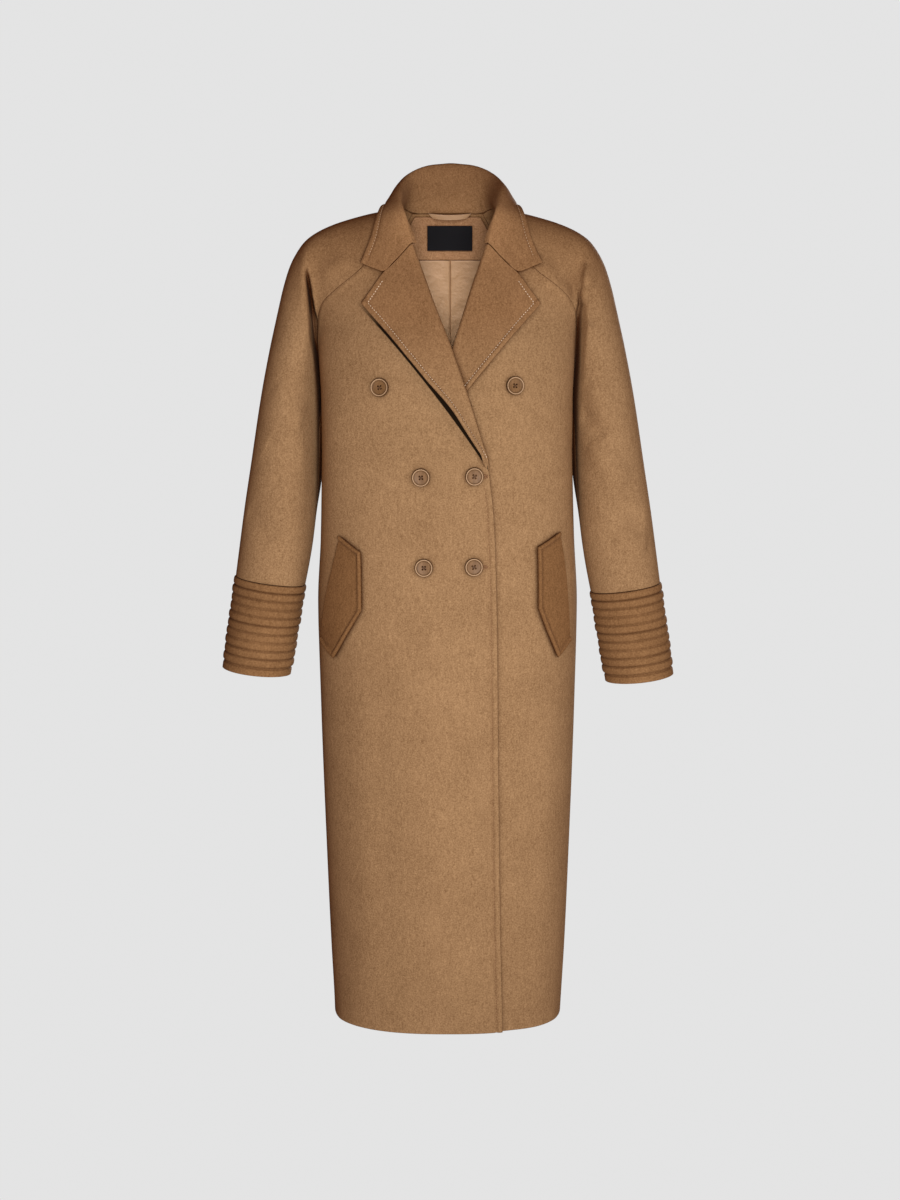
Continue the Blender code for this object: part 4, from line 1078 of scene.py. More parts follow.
@dataclass
class Tailor:
    """Makes the pieces: closes their shells, lays them in the folds and puts them on the coat's body."""

    drape: Drape
    materials: dict[str, bpy.types.Material] = field(default_factory=dict)
    body: str = "root"
    rim_turns: tuple[float, ...] = (30.0, 90.0, 150.0)

    def piece(self, name: str, points: Points, faces: Sequence[Faces], finish: Finish) -> bpy.types.Object:
        """An object of a mesh with its finish, riding on the coat's body.

        Args:
            name: Name of the piece.
            points: Its corners, in rows.
            faces: Arrays of faces, each array with one number of corners.
            finish: Its finish.

        Returns:
            The object, at the origin.
        """
        mesh = bpy.data.meshes.new(name)
        corners = [face for group in faces for face in group.tolist()]
        mesh.from_pydata(self.drape.moved(points).tolist(), [], corners, shade_flat=False)
        if finish.name not in self.materials:
            self.materials[finish.name] = finish.material()
        mesh.materials.append(self.materials[finish.name])
        made = bpy.data.objects.new(name, mesh)
        bpy.context.scene.collection.objects.link(made)
        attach(made, self.body)
        LOG.info("%s: %d triangles", name, sum(len(face) - 2 for face in corners))
        return made

    def cloth(
        self, node: str, skin: Skin, thickness: float, finish: Finish,
        rims: dict[Edge, Rim], closed: bool = False, inner: Points | None = None,
        lined: Points | None = None,
    ) -> bpy.types.Object:
        """A panel of cloth: its outer skin, an inner skin behind it and a rounded rim between them.

        Args:
            node: Node of the solid that the panel stands for.
            skin: The panel's outer skin.
            thickness: Thickness of the cloth.
            finish: Its finish.
            rims: Finish of each edge. An edge that isn't named is a seam.
            closed: Whether the last column joins the first one, as in a tube.
            inner: Points of the inner skin, if it isn't a thickness behind the outer one.
            lined: Share of lining that shows on each point of the inner skin.

        Returns:
            The object.
        """
        points, faces, inside = self._shell(skin, thickness, rims, closed, inner, lined)
        made = self.piece(f"{node}_cloth", points, [faces], finish)
        mark(made, "inside", inside)
        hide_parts(node)
        width, length, area = skin.cut_size(closed)
        return made

    def _shell(
        self, skin: Skin, thickness: float, rims: dict[Edge, Rim], closed: bool,
        inner: Points | None, lined: Points | None,
    ) -> tuple[Points, Faces, Points]:
        """Corners and faces of a closed shell.

        The edges are pulled in by their bulge, and loops between the two skins stand on half an ellipse that
        bulges back out to where the edge was.

        Args:
            skin: The outer skin.
            thickness: Thickness of the cloth.
            rims: Finish of the edges.
            closed: Whether the last column joins the first one.
            inner: Points of the inner skin, or None.
            lined: Share of lining on the inner skin, or None.

        Returns:
            The corners, the four-cornered faces, and each corner's share of lining.
        """
        rows, columns = skin.points.shape[:2]
        away = np.zeros_like(skin.points)
        bulge = np.zeros((rows, columns))
        for edge in list(Edge)[: 2 if closed else 4]:
            grid, far, wide = edge.turned(skin.points), edge.turned(away), edge.turned(bulge)
            step = grid[:, -1] - grid[:, -2]
            far[:, -1] += unit(step)
            most = rims.get(edge, Rim.SEAM).value * thickness
            wide[:, -1] = np.maximum(wide[:, -1], np.minimum(most, 0.6 * np.linalg.norm(step, axis=-1)))
        pull = unit(away) * bulge[..., None]
        outer = skin.points - pull
        back = skin.points - skin.normals * thickness if inner is None else inner
        back = back - pull
        index = np.arange(rows * columns).reshape(rows, columns)
        quads = grid_faces(rows, columns, around=closed)
        faces = [quads, quads[:, ::-1] + rows * columns]
        points = [outer.reshape(-1, 3), back.reshape(-1, 3)]
        count = 2 * rows * columns
        if closed:
            rings = [index[0], index[-1, ::-1]]
        else:
            rings = [np.concatenate([index[0, :-1], index[:-1, -1], index[-1, :0:-1], index[:0:-1, 0]])]
        for ring in rings:
            levels = [ring]
            middle = (points[0][ring] + points[1][ring]) / 2
            half = (points[0][ring] - points[1][ring]) / 2
            for turn in np.radians(self.rim_turns):
                points.append(middle + half * np.cos(turn) + pull.reshape(-1, 3)[ring] * np.sin(turn))
                levels.append(np.arange(count, count + len(ring)))
                count += len(ring)
            levels.append(ring + rows * columns)
            for upper, lower in zip(levels, levels[1:]):
                faces.append(np.stack([np.roll(upper, -1), upper, lower, np.roll(lower, -1)], axis=-1))
        everything = np.concatenate(points)
        all_faces = np.concatenate(faces)
        spread = outer.reshape(-1, 3)[quads]
        cross = np.cross(spread[:, 2] - spread[:, 0], spread[:, 3] - spread[:, 1])
        if np.sum(cross * skin.normals.reshape(-1, 3)[quads[:, 0]]) < 0:
            all_faces = all_faces[:, ::-1]
        inside = np.zeros(len(everything))
        if lined is not None:
            inside[rows * columns:2 * rows * columns] = lined.ravel()
        return everything, all_faces, inside

    def stitches(self, name: str, line: Points, finish: Finish, sewing: "Sewing") -> bpy.types.Object:
        """A run of stitches along a line on a skin.

        Each stitch is a short six-sided rod, thickest in its middle, that dips into the cloth at its ends.

        Args:
            name: Name of the piece.
            line: Points and normals of the line, side by side.
            finish: The thread.
            sewing: Sizes of the stitches.

        Returns:
            The object.
        """
        total = lengths(line[:, :3])[-1]
        count = max(int(total / sewing.pitch), 2)
        middles = (np.arange(count) + 0.5) / count
        spots = resampled(line, middles)
        ahead = resampled(line, np.minimum(middles + 0.2 / count, 1.0))[:, :3]
        behind = resampled(line, np.maximum(middles - 0.2 / count, 0.0))[:, :3]
        along, up = unit(ahead - behind), unit(spots[:, 3:])
        across = unit(np.cross(along, up))
        up = np.cross(across, along)
        places = np.array([-1.0, -0.55, 0.55, 1.0])
        radii = sewing.radius * np.array([0.45, 1.0, 1.0, 0.45])
        dips = sewing.radius * np.array([-1.3, 0.0, 0.0, -1.3]) + sewing.lift
        turns = circle(6)
        rod_along = np.repeat(places * sewing.length / 2, len(turns))
        rod_across = (radii[:, None] * np.cos(turns)).ravel()
        rod_up = (radii[:, None] * np.sin(turns) + dips[:, None]).ravel()
        points = (
            spots[:, None, :3]
            + along[:, None] * rod_along[None, :, None]
            + across[:, None] * rod_across[None, :, None]
            + up[:, None] * rod_up[None, :, None]
        )
        caps = np.array([[3, 2, 1, 0], [0, 5, 4, 3], [18, 19, 20, 21], [21, 22, 23, 18]])
        rod = np.concatenate([grid_faces(len(places), len(turns), around=True), caps])
        faces = (rod[None] + len(rod_along) * np.arange(count)[:, None, None]).reshape(-1, 4)
        return self.piece(name, points.reshape(-1, 3), [faces], finish)


@dataclass(frozen=True)
class Sewing:
    """Sizes of a line of stitches and of the groove that it presses into the cloth."""

    inset: float
    pitch: float = 0.0042
    length: float = 0.0029
    radius: float = 0.00036
    lift: float = -0.0001
    groove: float = 0.0007
    groove_width: float = 0.0016
    lip: float = 0.0005

    def relief(self, distance: Points, fade: Points | float = 1.0) -> Points:
        """Relief along a sewn edge: a groove at the inset and a lip outside it.

        Args:
            distance: Distance from the edge.
            fade: Share of the relief that is left.

        Returns:
            The height.
        """
        groove = -self.groove * bell(distance - self.inset, self.groove_width)
        lip = self.lip * (1 - np.abs(np.clip(2 * distance / self.inset - 1, -1, 1)) ** 2.5)
        return (groove + lip) * fade


FRONT_SEWING = Sewing(inset=0.0092, groove=0.0013, groove_width=0.0024, lip=0.0011)
LAPEL_SEWING = Sewing(inset=0.0080, radius=0.00066, groove=0.0009, groove_width=0.0018, lip=0.0012)
FLAP_SEWING = Sewing(
    inset=0.0072, pitch=0.0036, length=0.0026, groove=0.0014, groove_width=0.0016, lip=0.0022
)


@dataclass
class Sleeve:
    """A raglan sleeve in a front and a back half, with a tucked cuff."""

    side: Side
    raglan_steps: int = 66
    arm_steps: int = 62
    front_columns: int = 88
    back_columns: int = 46
    low_lean: float = 0.07
    back_lean: float = 0.036
    back_lean_end: float = 2.6
    recess_inner_ramp: float = 0.004
    recess_seam_ramp: float = 0.006
    neck_facing: float = 0.075
    half_round: float = 4 / 3
    drop_outward: float = 0.15
    tucks: int = 10
    tuck_height: float = 0.0042
    tuck_lean: float = 0.86
    tuck_squareness: float = 3.2
    tuck_fullness: float = 0.55
    band: float = 0.0125
    band_share: float = 0.62
    band_rows: int = 14
    cuff_set_in: float = 0.0020
    cuff_columns: int = 116
    rows_a_tuck: int = 10

    def __post_init__(self) -> None:
        """Works out the sizes that differ between the sides, and both halves."""
        right = self.side is Side.RIGHT
        self.drop = 0.0 if right else 0.010
        self.valley_lean = 0.32 if right else 0.06
        if right:
            self.recess = Table(
                "height outer inner depth",
                (-0.076, 0.2022, 0.2012, 0.0), (-0.100, 0.1998, 0.1965, 0.7), (-0.125, 0.1978, 0.1926, 1.0),
                (-0.150, 0.1965, 0.1870, 1.0), (-0.172, 0.1950, 0.1600, 1.0), (-0.212, 0.1885, 0.1600, 1.0),
                (-0.260, 0.1850, 0.1600, 1.0), (-0.330, 0.1862, 0.1600, 0.9), (-0.380, 0.1870, 0.1600, 0.0),
            )
        else:
            self.recess = Table(
                "height outer inner depth",
                (-0.090, 0.2020, 0.1960, 0.0), (-0.110, 0.1990, 0.1900, 0.3), (-0.140, 0.1955, 0.1840, 0.6),
                (-0.172, 0.1925, 0.1600, 0.7), (-0.212, 0.1890, 0.1600, 0.6), (-0.260, 0.1860, 0.1600, 0.4),
                (-0.320, 0.1850, 0.1600, 0.2), (-0.380, 0.1850, 0.1600, 0.0),
            )
        self.recess_ramp = 0.0045 if right else 0.016
        self.recess_back = 0.020 if right else 0.006
        self.raglan_rows = np.linspace(0, UNDERARM_ROW, self.raglan_steps + 1)
        self.front, self.back = self._halves()

    def seam(self, face: Face) -> tuple[Points, Points]:
        """Turn and height of the raglan seam at each of its rows."""
        word, row = face.name.lower(), self.raglan_rows
        return np.radians(RAGLAN.curve(f"{word}_turn", row)), RAGLAN.curve(f"{word}_height", row)

    def _half(self, face: Face, shares: Points) -> tuple[Points, Points]:
        """Points of one half, and the body's slope along its raglan seam.

        Each row is a curve with two handles from the seam to the overarm line. Below the underarm the rows
        are splined through the sleeve's table.

        Args:
            face: Front or back.
            shares: Shares across the half, from the seam to the overarm line.

        Returns:
            The points and the slopes.
        """
        word, way = face.name.lower(), FORWARD * -face.value
        row = self.raglan_rows
        seam = FORM.skin(*self.seam(face), face)
        top = np.stack([RAGLAN.curve(name, row) for name in ("top_x", "top_y", "top_z")], axis=-1)
        toward = top - seam.points
        toward = unit(toward - seam.normals * np.sum(toward * seam.normals, axis=-1, keepdims=True))
        lean = np.array([self.valley_lean if face is Face.FRONT else 0.0, 0.0, 0.0])
        valley = RAGLAN.curve("valley", row)[:, None]
        start_way = unit(toward * (1 - valley) + (way + lean) * valley)
        first = seam.points + start_way * RAGLAN.curve(f"{word}_reach", row)[:, None]
        second = top + way * RAGLAN.curve("top_reach", row)[:, None]
        upper = np.stack([seam.points, first, second, top], axis=1)
        low = {name: SLEEVE[name][:-1] for name in SLEEVE.names}
        sink = self.drop * ease(np.linspace(0, 1, len(low["row"])))
        shift = self.drop_outward * sink
        inner = np.stack([low["inner_x"] + shift, low["middle_y"], low["inner_z"] - sink], axis=-1)
        outer = np.stack([low["outer_x"] + shift, low["middle_y"], low["outer_z"] - sink], axis=-1)
        swell = way * (low["half_depth"] * self.half_round)[:, None]
        low_lean = lean * np.linspace(self.low_lean, 0.0, len(inner))[:, None]
        if face is Face.BACK:
            fade = 1 - ease(low["row"] - self.back_lean_end)
            low_lean = np.array([-self.back_lean, 0.0, 0.0]) * fade[:, None]
        lower = np.stack([inner, inner + swell + low_lean, outer + swell, outer], axis=1)
        knots = np.concatenate([upper[-1:], lower])
        run = lengths(knots).mean(axis=1)
        arm = spline(run, knots, np.linspace(0, run[-1], self.arm_steps + 1)[1:])
        handles = np.concatenate([upper, arm])
        return bezier(*handles.swapaxes(0, 1), shares), seam.normals

    def _pressed(self, half: Points) -> Points:
        """The front half with the fold pressed in that runs up from the armpit.

        Between an inner and an outer line, seen from the front, the cloth lies a little behind its seam. It
        goes over softly at both lines and comes back to the seam itself.

        Args:
            half: The front half before that.

        Returns:
            The half with its fold.
        """
        height = half[..., 2]
        outer = ease((self.recess.curve("outer", height) - half[..., 0]) / self.recess_ramp + 0.5)
        inner = ease((half[..., 0] - self.recess.curve("inner", height)) / self.recess_inner_ramp + 0.5)
        off_seam = ease(lengths(half, 1) / self.recess_seam_ramp)
        share = outer * inner * off_seam * self.recess.curve("depth", height)
        floor = half[:, :1, 1] + self.recess_back
        pressed = half.copy()
        pressed[..., 1] += share * np.maximum(floor - half[..., 1], 0)
        return pressed

    def _halves(self) -> tuple[Skin, Skin]:
        """Both halves' skins.

        Returns:
            The front half, from its seam to the overarm line, and the back half from there on.
        """
        front_shares = np.linspace(0, 1, self.front_columns + 1)
        front, front_slope = self._half(Face.FRONT, front_shares)
        back, back_slope = self._half(Face.BACK, np.linspace(0, 1, self.back_columns + 1))
        front = self._pressed(front)
        ring = np.concatenate([front, back[:, ::-1][:, 1:]], axis=1)
        across = np.gradient(ring, axis=1)
        join = ring[self.raglan_steps:, 1] - ring[self.raglan_steps:, -2]
        across[self.raglan_steps:, 0] = join
        across[self.raglan_steps:, -1] = join
        normals = unit(np.cross(across, np.gradient(ring, axis=0)))
        normals = normals * np.sign(np.sum(normals[-1, 0] * (ring[-1, 0] - ring[-1].mean(axis=0))))
        seam_rows = slice(0, self.raglan_steps + 1)
        for column, slope in ((0, front_slope), (-1, back_slope)):
            own = normals[seam_rows, column]
            agree = ease(np.sum(own * slope, axis=-1) * 2)[:, None]
            normals[seam_rows, column] = unit(own + slope * agree)
        ring, normals = ring * self.side.mirror, normals * self.side.mirror
        cut = self.front_columns + 1
        return Skin(ring[:, :cut], normals[:, :cut]), Skin(ring[:, cut - 1:], normals[:, cut - 1:])

    def build(self, tailor: Tailor) -> None:
        """Both halves and the cuff.

        Args:
            tailor: Makes the pieces.
        """
        for word, skin in (("front", self.front), ("back", self.back)):
            lined = ease((skin.from_edge(Edge.FIRST_ROW) - self.neck_facing) / LINING_BLEND)
            tailor.cloth(
                f"sleeve_{word}_{self.side.word}", skin, CLOTH, BODY_WOOL,
                {}, lined=lined,
            )
        self._cuff(tailor)

    def _tuck_relief(self, share: Points, turn: Points, length: float) -> Points:
        """Height of the cuff's outside: rounded tucks with sharp grooves between them, then a plain band.

        Args:
            share: Share of the way down the cuff.
            turn: Turn round it.
            length: Length of the cuff.

        Returns:
            The height, which differs a little from tuck to tuck and round the cuff.
        """
        tucked = 1 - self.band / length
        phase = np.clip(share / tucked, 0, 1) * self.tucks
        number = np.minimum(np.floor(phase), self.tucks - 1)
        across = np.clip(phase - number, 0, 1) ** self.tuck_lean
        uneven = 1 + 0.10 * np.sin(turn * 2 + number * 2.1) + 0.07 * np.sin(turn * 5 - number * 1.3)
        round_tuck = (1 - np.abs(2 * across - 1) ** self.tuck_squareness) ** self.tuck_fullness
        tuck = self.tuck_height * uneven * round_tuck
        into_band = ease((share - tucked) / (1 - tucked) * 3)
        return np.where(share < tucked, tuck, self.band_share * self.tuck_height * into_band)

    def _cuff(self, tailor: Tailor) -> None:
        """The cuff: a tube whose rings run from the sleeve's end to the cuff's end, raised in tucks.

        Args:
            tailor: Makes the pieces.
        """
        ends = {name: SLEEVE[name][-2:] for name in SLEEVE.names}
        length = math.hypot(float(np.diff(ends["inner_x"])[0]), float(np.diff(ends["inner_z"])[0]))
        rows = self.tucks * self.rows_a_tuck + self.band_rows
        share = np.linspace(SEAM_GAP / length, 1, rows)[:, None]
        turn = circle(self.cuff_columns)[None]
        size = {name: column[0] * (1 - share) + column[1] * share for name, column in ends.items()}
        inner = np.stack([size["inner_x"], size["middle_y"], size["inner_z"]], axis=-1)
        outer = np.stack([size["outer_x"], size["middle_y"], size["outer_z"]], axis=-1)
        middle = (inner + outer) / 2 + np.array([self.drop_outward * self.drop, 0.0, -self.drop])
        forward = FORWARD * (size["half_depth"] * np.sin(turn))[..., None]
        points = middle - (outer - inner) / 2 * np.cos(turn)[..., None] + forward
        normals = grid_normals(points, closed=True)
        normals = normals * np.sign(np.sum(normals[0, 0] * np.array([-1.0, 0.0, 0.0])))
        height = self._tuck_relief(share, turn, length) - self.cuff_set_in
        inner = (points - normals * CLOTH) * self.side.mirror
        outer = (points + normals * height[..., None]) * self.side.mirror
        normals = normals * self.side.mirror
        tailor.cloth(
            f"cuff_{self.side.word}", Skin(outer, normals), CLOTH, CUFF_WOOL,
            {Edge.LAST_ROW: Rim.FREE}, closed=True, inner=inner,
        )


@dataclass
class BodyPanels:
    """The two fronts and the back."""

    sleeves: dict[Side, Sleeve]
    row_step: float = 0.0055
    hem_step: float = 0.0020
    hem_zone: float = 0.010
    column_step: float = 0.0040
    edge_step: float = 0.0011
    edge_zone: float = 0.015
    front_width: float = 0.27
    back_columns: int = 92
    facing_width: float = 0.085
    hem_depth: float = 0.045
    seam_ridge: float = 0.0008
    seam_ridge_width: float = 0.006
    seam_ridge_fade: float = 0.04
    lip_gap: float = 0.012
    lip_fade: float = 0.03
    stitch_gap: float = 0.02
    stitch_hem_gap: float = 0.004

    def _heights(self, face: Face) -> tuple[Points, Points]:
        """Rows of a panel, from the hem to the neck.

        Args:
            face: Front or back.

        Returns:
            The turn of the side seam and the height at each row.
        """
        low = UNDERARM_HEIGHT - HEM_HEIGHT
        shares = spaced(low, self.row_step, self.hem_step, self.hem_zone, True, False)
        turn, height = self.sleeves[Side.LEFT].seam(face)
        heights = np.concatenate([HEM_HEIGHT + low * shares[:-1], height[::-1]])
        turns = np.concatenate([np.full(len(shares) - 1, math.pi / 2), turn[::-1]])
        return turns, heights

    def _joined(self, normals: Points, column: int, sleeve: Points) -> None:
        """Turns the normals along a raglan seam toward those of the sleeve beside it.

        Args:
            normals: The panel's normals, which are changed.
            column: The seam's column.
            sleeve: The sleeve's normals along the seam, from the underarm up.
        """
        rows = len(sleeve)
        own = normals[-rows:, column]
        agree = ease(np.sum(sleeve * own, axis=-1) * 2)[:, None]
        normals[-rows:, column] = unit(own + (sleeve - own) * agree)

    def _lined(self, skin: Skin, edges: Sequence[Edge]) -> Points:
        """Where lining shows inside: away from the turned-up hem and from the facings.

        Args:
            skin: The panel's skin.
            edges: Its edges with a facing.

        Returns:
            The share of lining at each point.
        """
        shown = ease((skin.points[..., 2] - HEM_HEIGHT - self.hem_depth) / LINING_BLEND)
        for edge in edges:
            shown = shown * ease((skin.from_edge(edge) - self.facing_width) / LINING_BLEND)
        return shown

    def front(self, side: Side) -> Skin:
        """A front's outer skin: rows run round the body form from the side seam to the front's edge.

        Args:
            side: The front's side.

        Returns:
            The skin, from the hem up.
        """
        seam, heights = self._heights(Face.FRONT)
        shares = spaced(
            self.front_width, self.column_step, self.edge_step, self.edge_zone, False, True
        )
        edge_turn = -FORM.turn_of(FORM.edge(side, heights), heights)
        turns = seam[:, None] * (1 - shares) + edge_turn[:, None] * shares
        skin = FORM.skin(turns, heights[:, None], Face.FRONT)
        sleeve = self.sleeves[Side.LEFT].front.normals[: self.sleeves[Side.LEFT].raglan_steps + 1, 0]
        self._joined(skin.normals, 0, sleeve[::-1])
        if side is Side.LEFT:
            pressed = FORM.pressed_in(skin.points[..., 0], skin.points[..., 2])
            return Skin(skin.points - skin.normals * pressed[..., None], skin.normals)
        return Skin(skin.points * side.mirror, skin.normals * side.mirror)

    def back(self) -> Skin:
        """The back's outer skin: rows run round the body form from side to side.

        Returns:
            The skin, from the hem up.
        """
        seam, heights = self._heights(Face.BACK)
        turns = seam[:, None] * np.linspace(-1, 1, self.back_columns + 1)
        skin = FORM.skin(turns, heights[:, None], Face.BACK)
        for column, side in ((0, Side.RIGHT), (-1, Side.LEFT)):
            sleeve = self.sleeves[side]
            self._joined(skin.normals, column, sleeve.back.normals[: sleeve.raglan_steps + 1, -1][::-1])
        return skin

    def _ridged(self, skin: Skin, edges: Sequence[Edge]) -> Skin:
        """Raises a low ridge along raglan seams, where the seam's turnings lie under the cloth.

        Args:
            skin: The panel's skin.
            edges: Its edges with such a seam.

        Returns:
            The ridged skin.
        """
        above = ease((skin.points[..., 2] - UNDERARM_HEIGHT) / self.seam_ridge_fade)
        ridge = np.zeros(skin.points.shape[:2])
        for edge in edges:
            distance = skin.from_edge(edge)
            ridge += bell(distance - self.seam_ridge_width, self.seam_ridge_width) * self.seam_ridge
        return skin.out(ridge * above)

    def build(self, tailor: Tailor) -> None:
        """Both fronts with the stitching along the outer one's edge, and the back.

        Args:
            tailor: Makes the pieces.
        """
        for side in Side:
            skin = self._ridged(self.front(side), [Edge.FIRST_COLUMN])
            lined = self._lined(skin, [Edge.LAST_COLUMN])
            below = ease((BREAK_HEIGHT - self.lip_gap - skin.points[..., 2]) / self.lip_fade)
            skin = skin.out(FRONT_SEWING.relief(skin.from_edge(Edge.LAST_COLUMN), below))
            extras, finish = [], BODY_WOOL
            if side is Side.RIGHT:
                finish = FRONT_WOOL
                line = skin.inset(Edge.LAST_COLUMN, FRONT_SEWING.inset)
                below = line[:, 2] < BREAK_HEIGHT - self.stitch_gap
                line = line[below & (line[:, 2] > HEM_HEIGHT + self.stitch_hem_gap)]
                extras.append(tailor.stitches("front_edge_stitches", line, SEWING_THREAD, FRONT_SEWING))
            tailor.cloth(
                f"front_{side.word}", skin, CLOTH, finish,
                {Edge.FIRST_ROW: Rim.FREE, Edge.LAST_COLUMN: Rim.FREE}, lined=lined,
            )
        skin = self._ridged(self.back(), [Edge.FIRST_COLUMN, Edge.LAST_COLUMN])
        tailor.cloth(
            "back", skin, CLOTH, BODY_WOOL, {Edge.FIRST_ROW: Rim.FREE},
            lined=self._lined(skin, [Edge.LAST_ROW]),
        )


@dataclass
class Lapel:
    """A lapel: cloth that comes out from behind the front, turns over the roll and lies back on the front."""

    side: Side
    rows: int = 104
    hook_steps: int = 12
    flat_length: float = 0.090
    flat_step: float = 0.0026
    rim_step: float = 0.0010
    rim_zone: float = 0.011
    roll_radius: float = 0.0058
    roll_radius_least: float = 0.0034
    roll_radius_growth: float = 0.06
    hidden_radius: float = 0.0038
    hidden_top: float = -0.150
    hidden_blend: float = 0.060
    roll_settle: float = 0.040
    rim_shift_end: float = 0.4
    gap_width: float = 0.0066
    tip_roll: float = 0.45
    tip_length: float = 0.08
    tip_sink: float = 0.003
    tip_sink_length: float = 0.05
    hook_level_start: float = 0.6
    top_bend_start: float = 0.80

    def __post_init__(self) -> None:
        """Works out the sizes that differ between the sides, and the lapel's skin."""
        right = self.side is Side.RIGHT
        self.first = 0.0 if right else 0.34
        self.roll_gap = 0.00098 if right else 0.0014
        if right:
            self.standoff = Table(
                "along height",
                (0.0, 0.000), (0.10, 0.006), (0.30, 0.015), (0.48, 0.011), (0.75, 0.004), (1.0, 0.0025),
            )
        else:
            self.standoff = Table(
                "along height", (0.0, 0.000), (0.40, 0.001), (0.55, 0.002), (0.75, 0.003), (1.0, 0.002)
            )
        self.turns = np.radians(np.linspace(-90.0, -270.0, self.hook_steps + 1))
        self.shares = spaced(self.flat_length, self.flat_step, self.rim_step, self.rim_zone, False, True)[1:]
        self.skin = self._skin()

    def _skin(self) -> Skin:
        """The lapel's showing skin.

        Along a row a point has a distance from the roll line toward the lapel's edge and a height over the
        front: first half a turn round the roll, then a stretch that settles onto the front and stands off
        again toward the edge.

        Returns:
            The skin, with its last column at the lapel's edge and its last row at the gorge.
        """
        along = np.linspace(self.first, 1, self.rows)
        roll_z = LAPEL_ROLL.curve("height", along)
        roll_x = -FORM.edge(self.side, roll_z)
        shift = self.side.value * NECK_SHIFT
        rim_x = LAPEL_EDGE.curve("side_x", along) + shift * ease(along / self.rim_shift_end)
        if self.side is Side.RIGHT:
            rim_x = rim_x - self.gap_width * (ease((along - 0.01) / 0.09) - ease((along - 0.30) / 0.22))
        rim_z = LAPEL_EDGE.curve("height", along)
        length = np.hypot(rim_x - roll_x, rim_z - roll_z)
        radius = np.minimum(self.roll_radius, self.roll_radius_least + self.roll_radius_growth * length)
        if self.side is Side.RIGHT:
            radius = radius * (self.tip_roll + (1 - self.tip_roll) * ease(along / self.tip_length))
        else:
            shown = ease((roll_z - self.hidden_top) / self.hidden_blend)
            radius = self.hidden_radius + (radius - self.hidden_radius) * shown
        radius, length = radius[:, None], length[:, None]
        hook_place = radius * np.cos(self.turns)
        hook_height = radius - CLOTH + radius * np.sin(self.turns)
        distance = self.shares * length
        settle = ease(distance / self.roll_settle)
        standoff = self.standoff.curve("height", along)[:, None] * self.shares**2
        flat_height = (2 * radius - CLOTH) * (1 - settle) + (CLOTH + LAYER_GAP) * settle + standoff
        places = np.concatenate([hook_place, distance], axis=1)
        sunk = self.tip_sink * (1 - ease(along / self.tip_sink_length))[:, None] * (self.side is Side.RIGHT)
        heights = np.concatenate([hook_height, flat_height], axis=1) - sunk
        share = places / length
        x = roll_x[:, None] + (rim_x - roll_x)[:, None] * share
        hook_level = 1 - ease((along - self.hook_level_start) / (1 - self.hook_level_start))[:, None]
        z = roll_z[:, None] + (rim_z - roll_z)[:, None] * share * np.where(share < 0, hook_level, 1.0)
        bend = ease((along - self.top_bend_start) / (1 - self.top_bend_start))[:, None] * (share > 0)
        top_x, top_z = LAPEL_TOP["side_x"], LAPEL_TOP["height"]
        x = x + bend * (LAPEL_TOP.curve("side_x", share) - top_x[0] - (top_x[-1] - top_x[0]) * share)
        z = z + bend * (LAPEL_TOP.curve("height", share) - top_z[0] - (top_z[-1] - top_z[0]) * share)
        front = FORM.front(x * self.side.value, z, self.side)
        points = front.points + front.normals * heights[..., None]
        normals = grid_normals(points)
        normals = normals * np.sign(np.sum(normals[-1, -1] * front.normals[-1, -1]))
        normals[:, 0] = -front.normals[:, 0]
        middle = self.hook_steps // 2
        away = unit(points[:, middle] - points[:, self.hook_steps + 8])
        hooked = np.clip((self.turns + 1.5 * math.pi) / (0.5 * math.pi), 0, 1)
        beside = self.roll_gap * np.concatenate([hooked, 0 * self.shares])
        return Skin(points + away[:, None] * beside[None, :, None], normals)

    def build(self, tailor: Tailor) -> None:
        """The lapel with stitching inside its edge and along its top from the notch to the point.

        Args:
            tailor: Makes the pieces.
        """
        skin = self.skin
        rim = skin.from_edge(Edge.LAST_COLUMN)
        top = skin.from_edge(Edge.LAST_ROW)
        flat = np.concatenate([np.zeros(self.hook_steps + 1), self.shares])
        past_notch = ease((flat - NOTCH_ACROSS - 0.02) / 0.04)
        both = LAPEL_SEWING.relief(rim), LAPEL_SEWING.relief(top) * past_notch
        relief, raised = np.minimum(*both), np.maximum(*both)
        on_flat = ease((flat - 0.25) / 0.2)
        skin = skin.out(np.where(relief < 0, relief, raised) * on_flat)
        side_line = skin.inset(Edge.LAST_COLUMN, LAPEL_SEWING.inset)
        low = int(0.05 * self.rows)
        high = np.argmax(top[:, -1] < LAPEL_SEWING.inset)
        top_line = skin.inset(Edge.LAST_ROW, LAPEL_SEWING.inset)
        kept = (flat > NOTCH_ACROSS + 0.03) & (rim[-1] > LAPEL_SEWING.inset)
        line = np.concatenate([side_line[low:high], top_line[kept][::-1]])
        extras = [tailor.stitches(f"lapel_{self.side.word}_stitches", line, LAPEL_THREAD, LAPEL_SEWING)]
        tailor.cloth(
            f"lapel_{self.side.word}", skin, CLOTH, LAPEL_WOOL,
            {Edge.LAST_COLUMN: Rim.FREE, Edge.FIRST_ROW: Rim.FREE},
        )


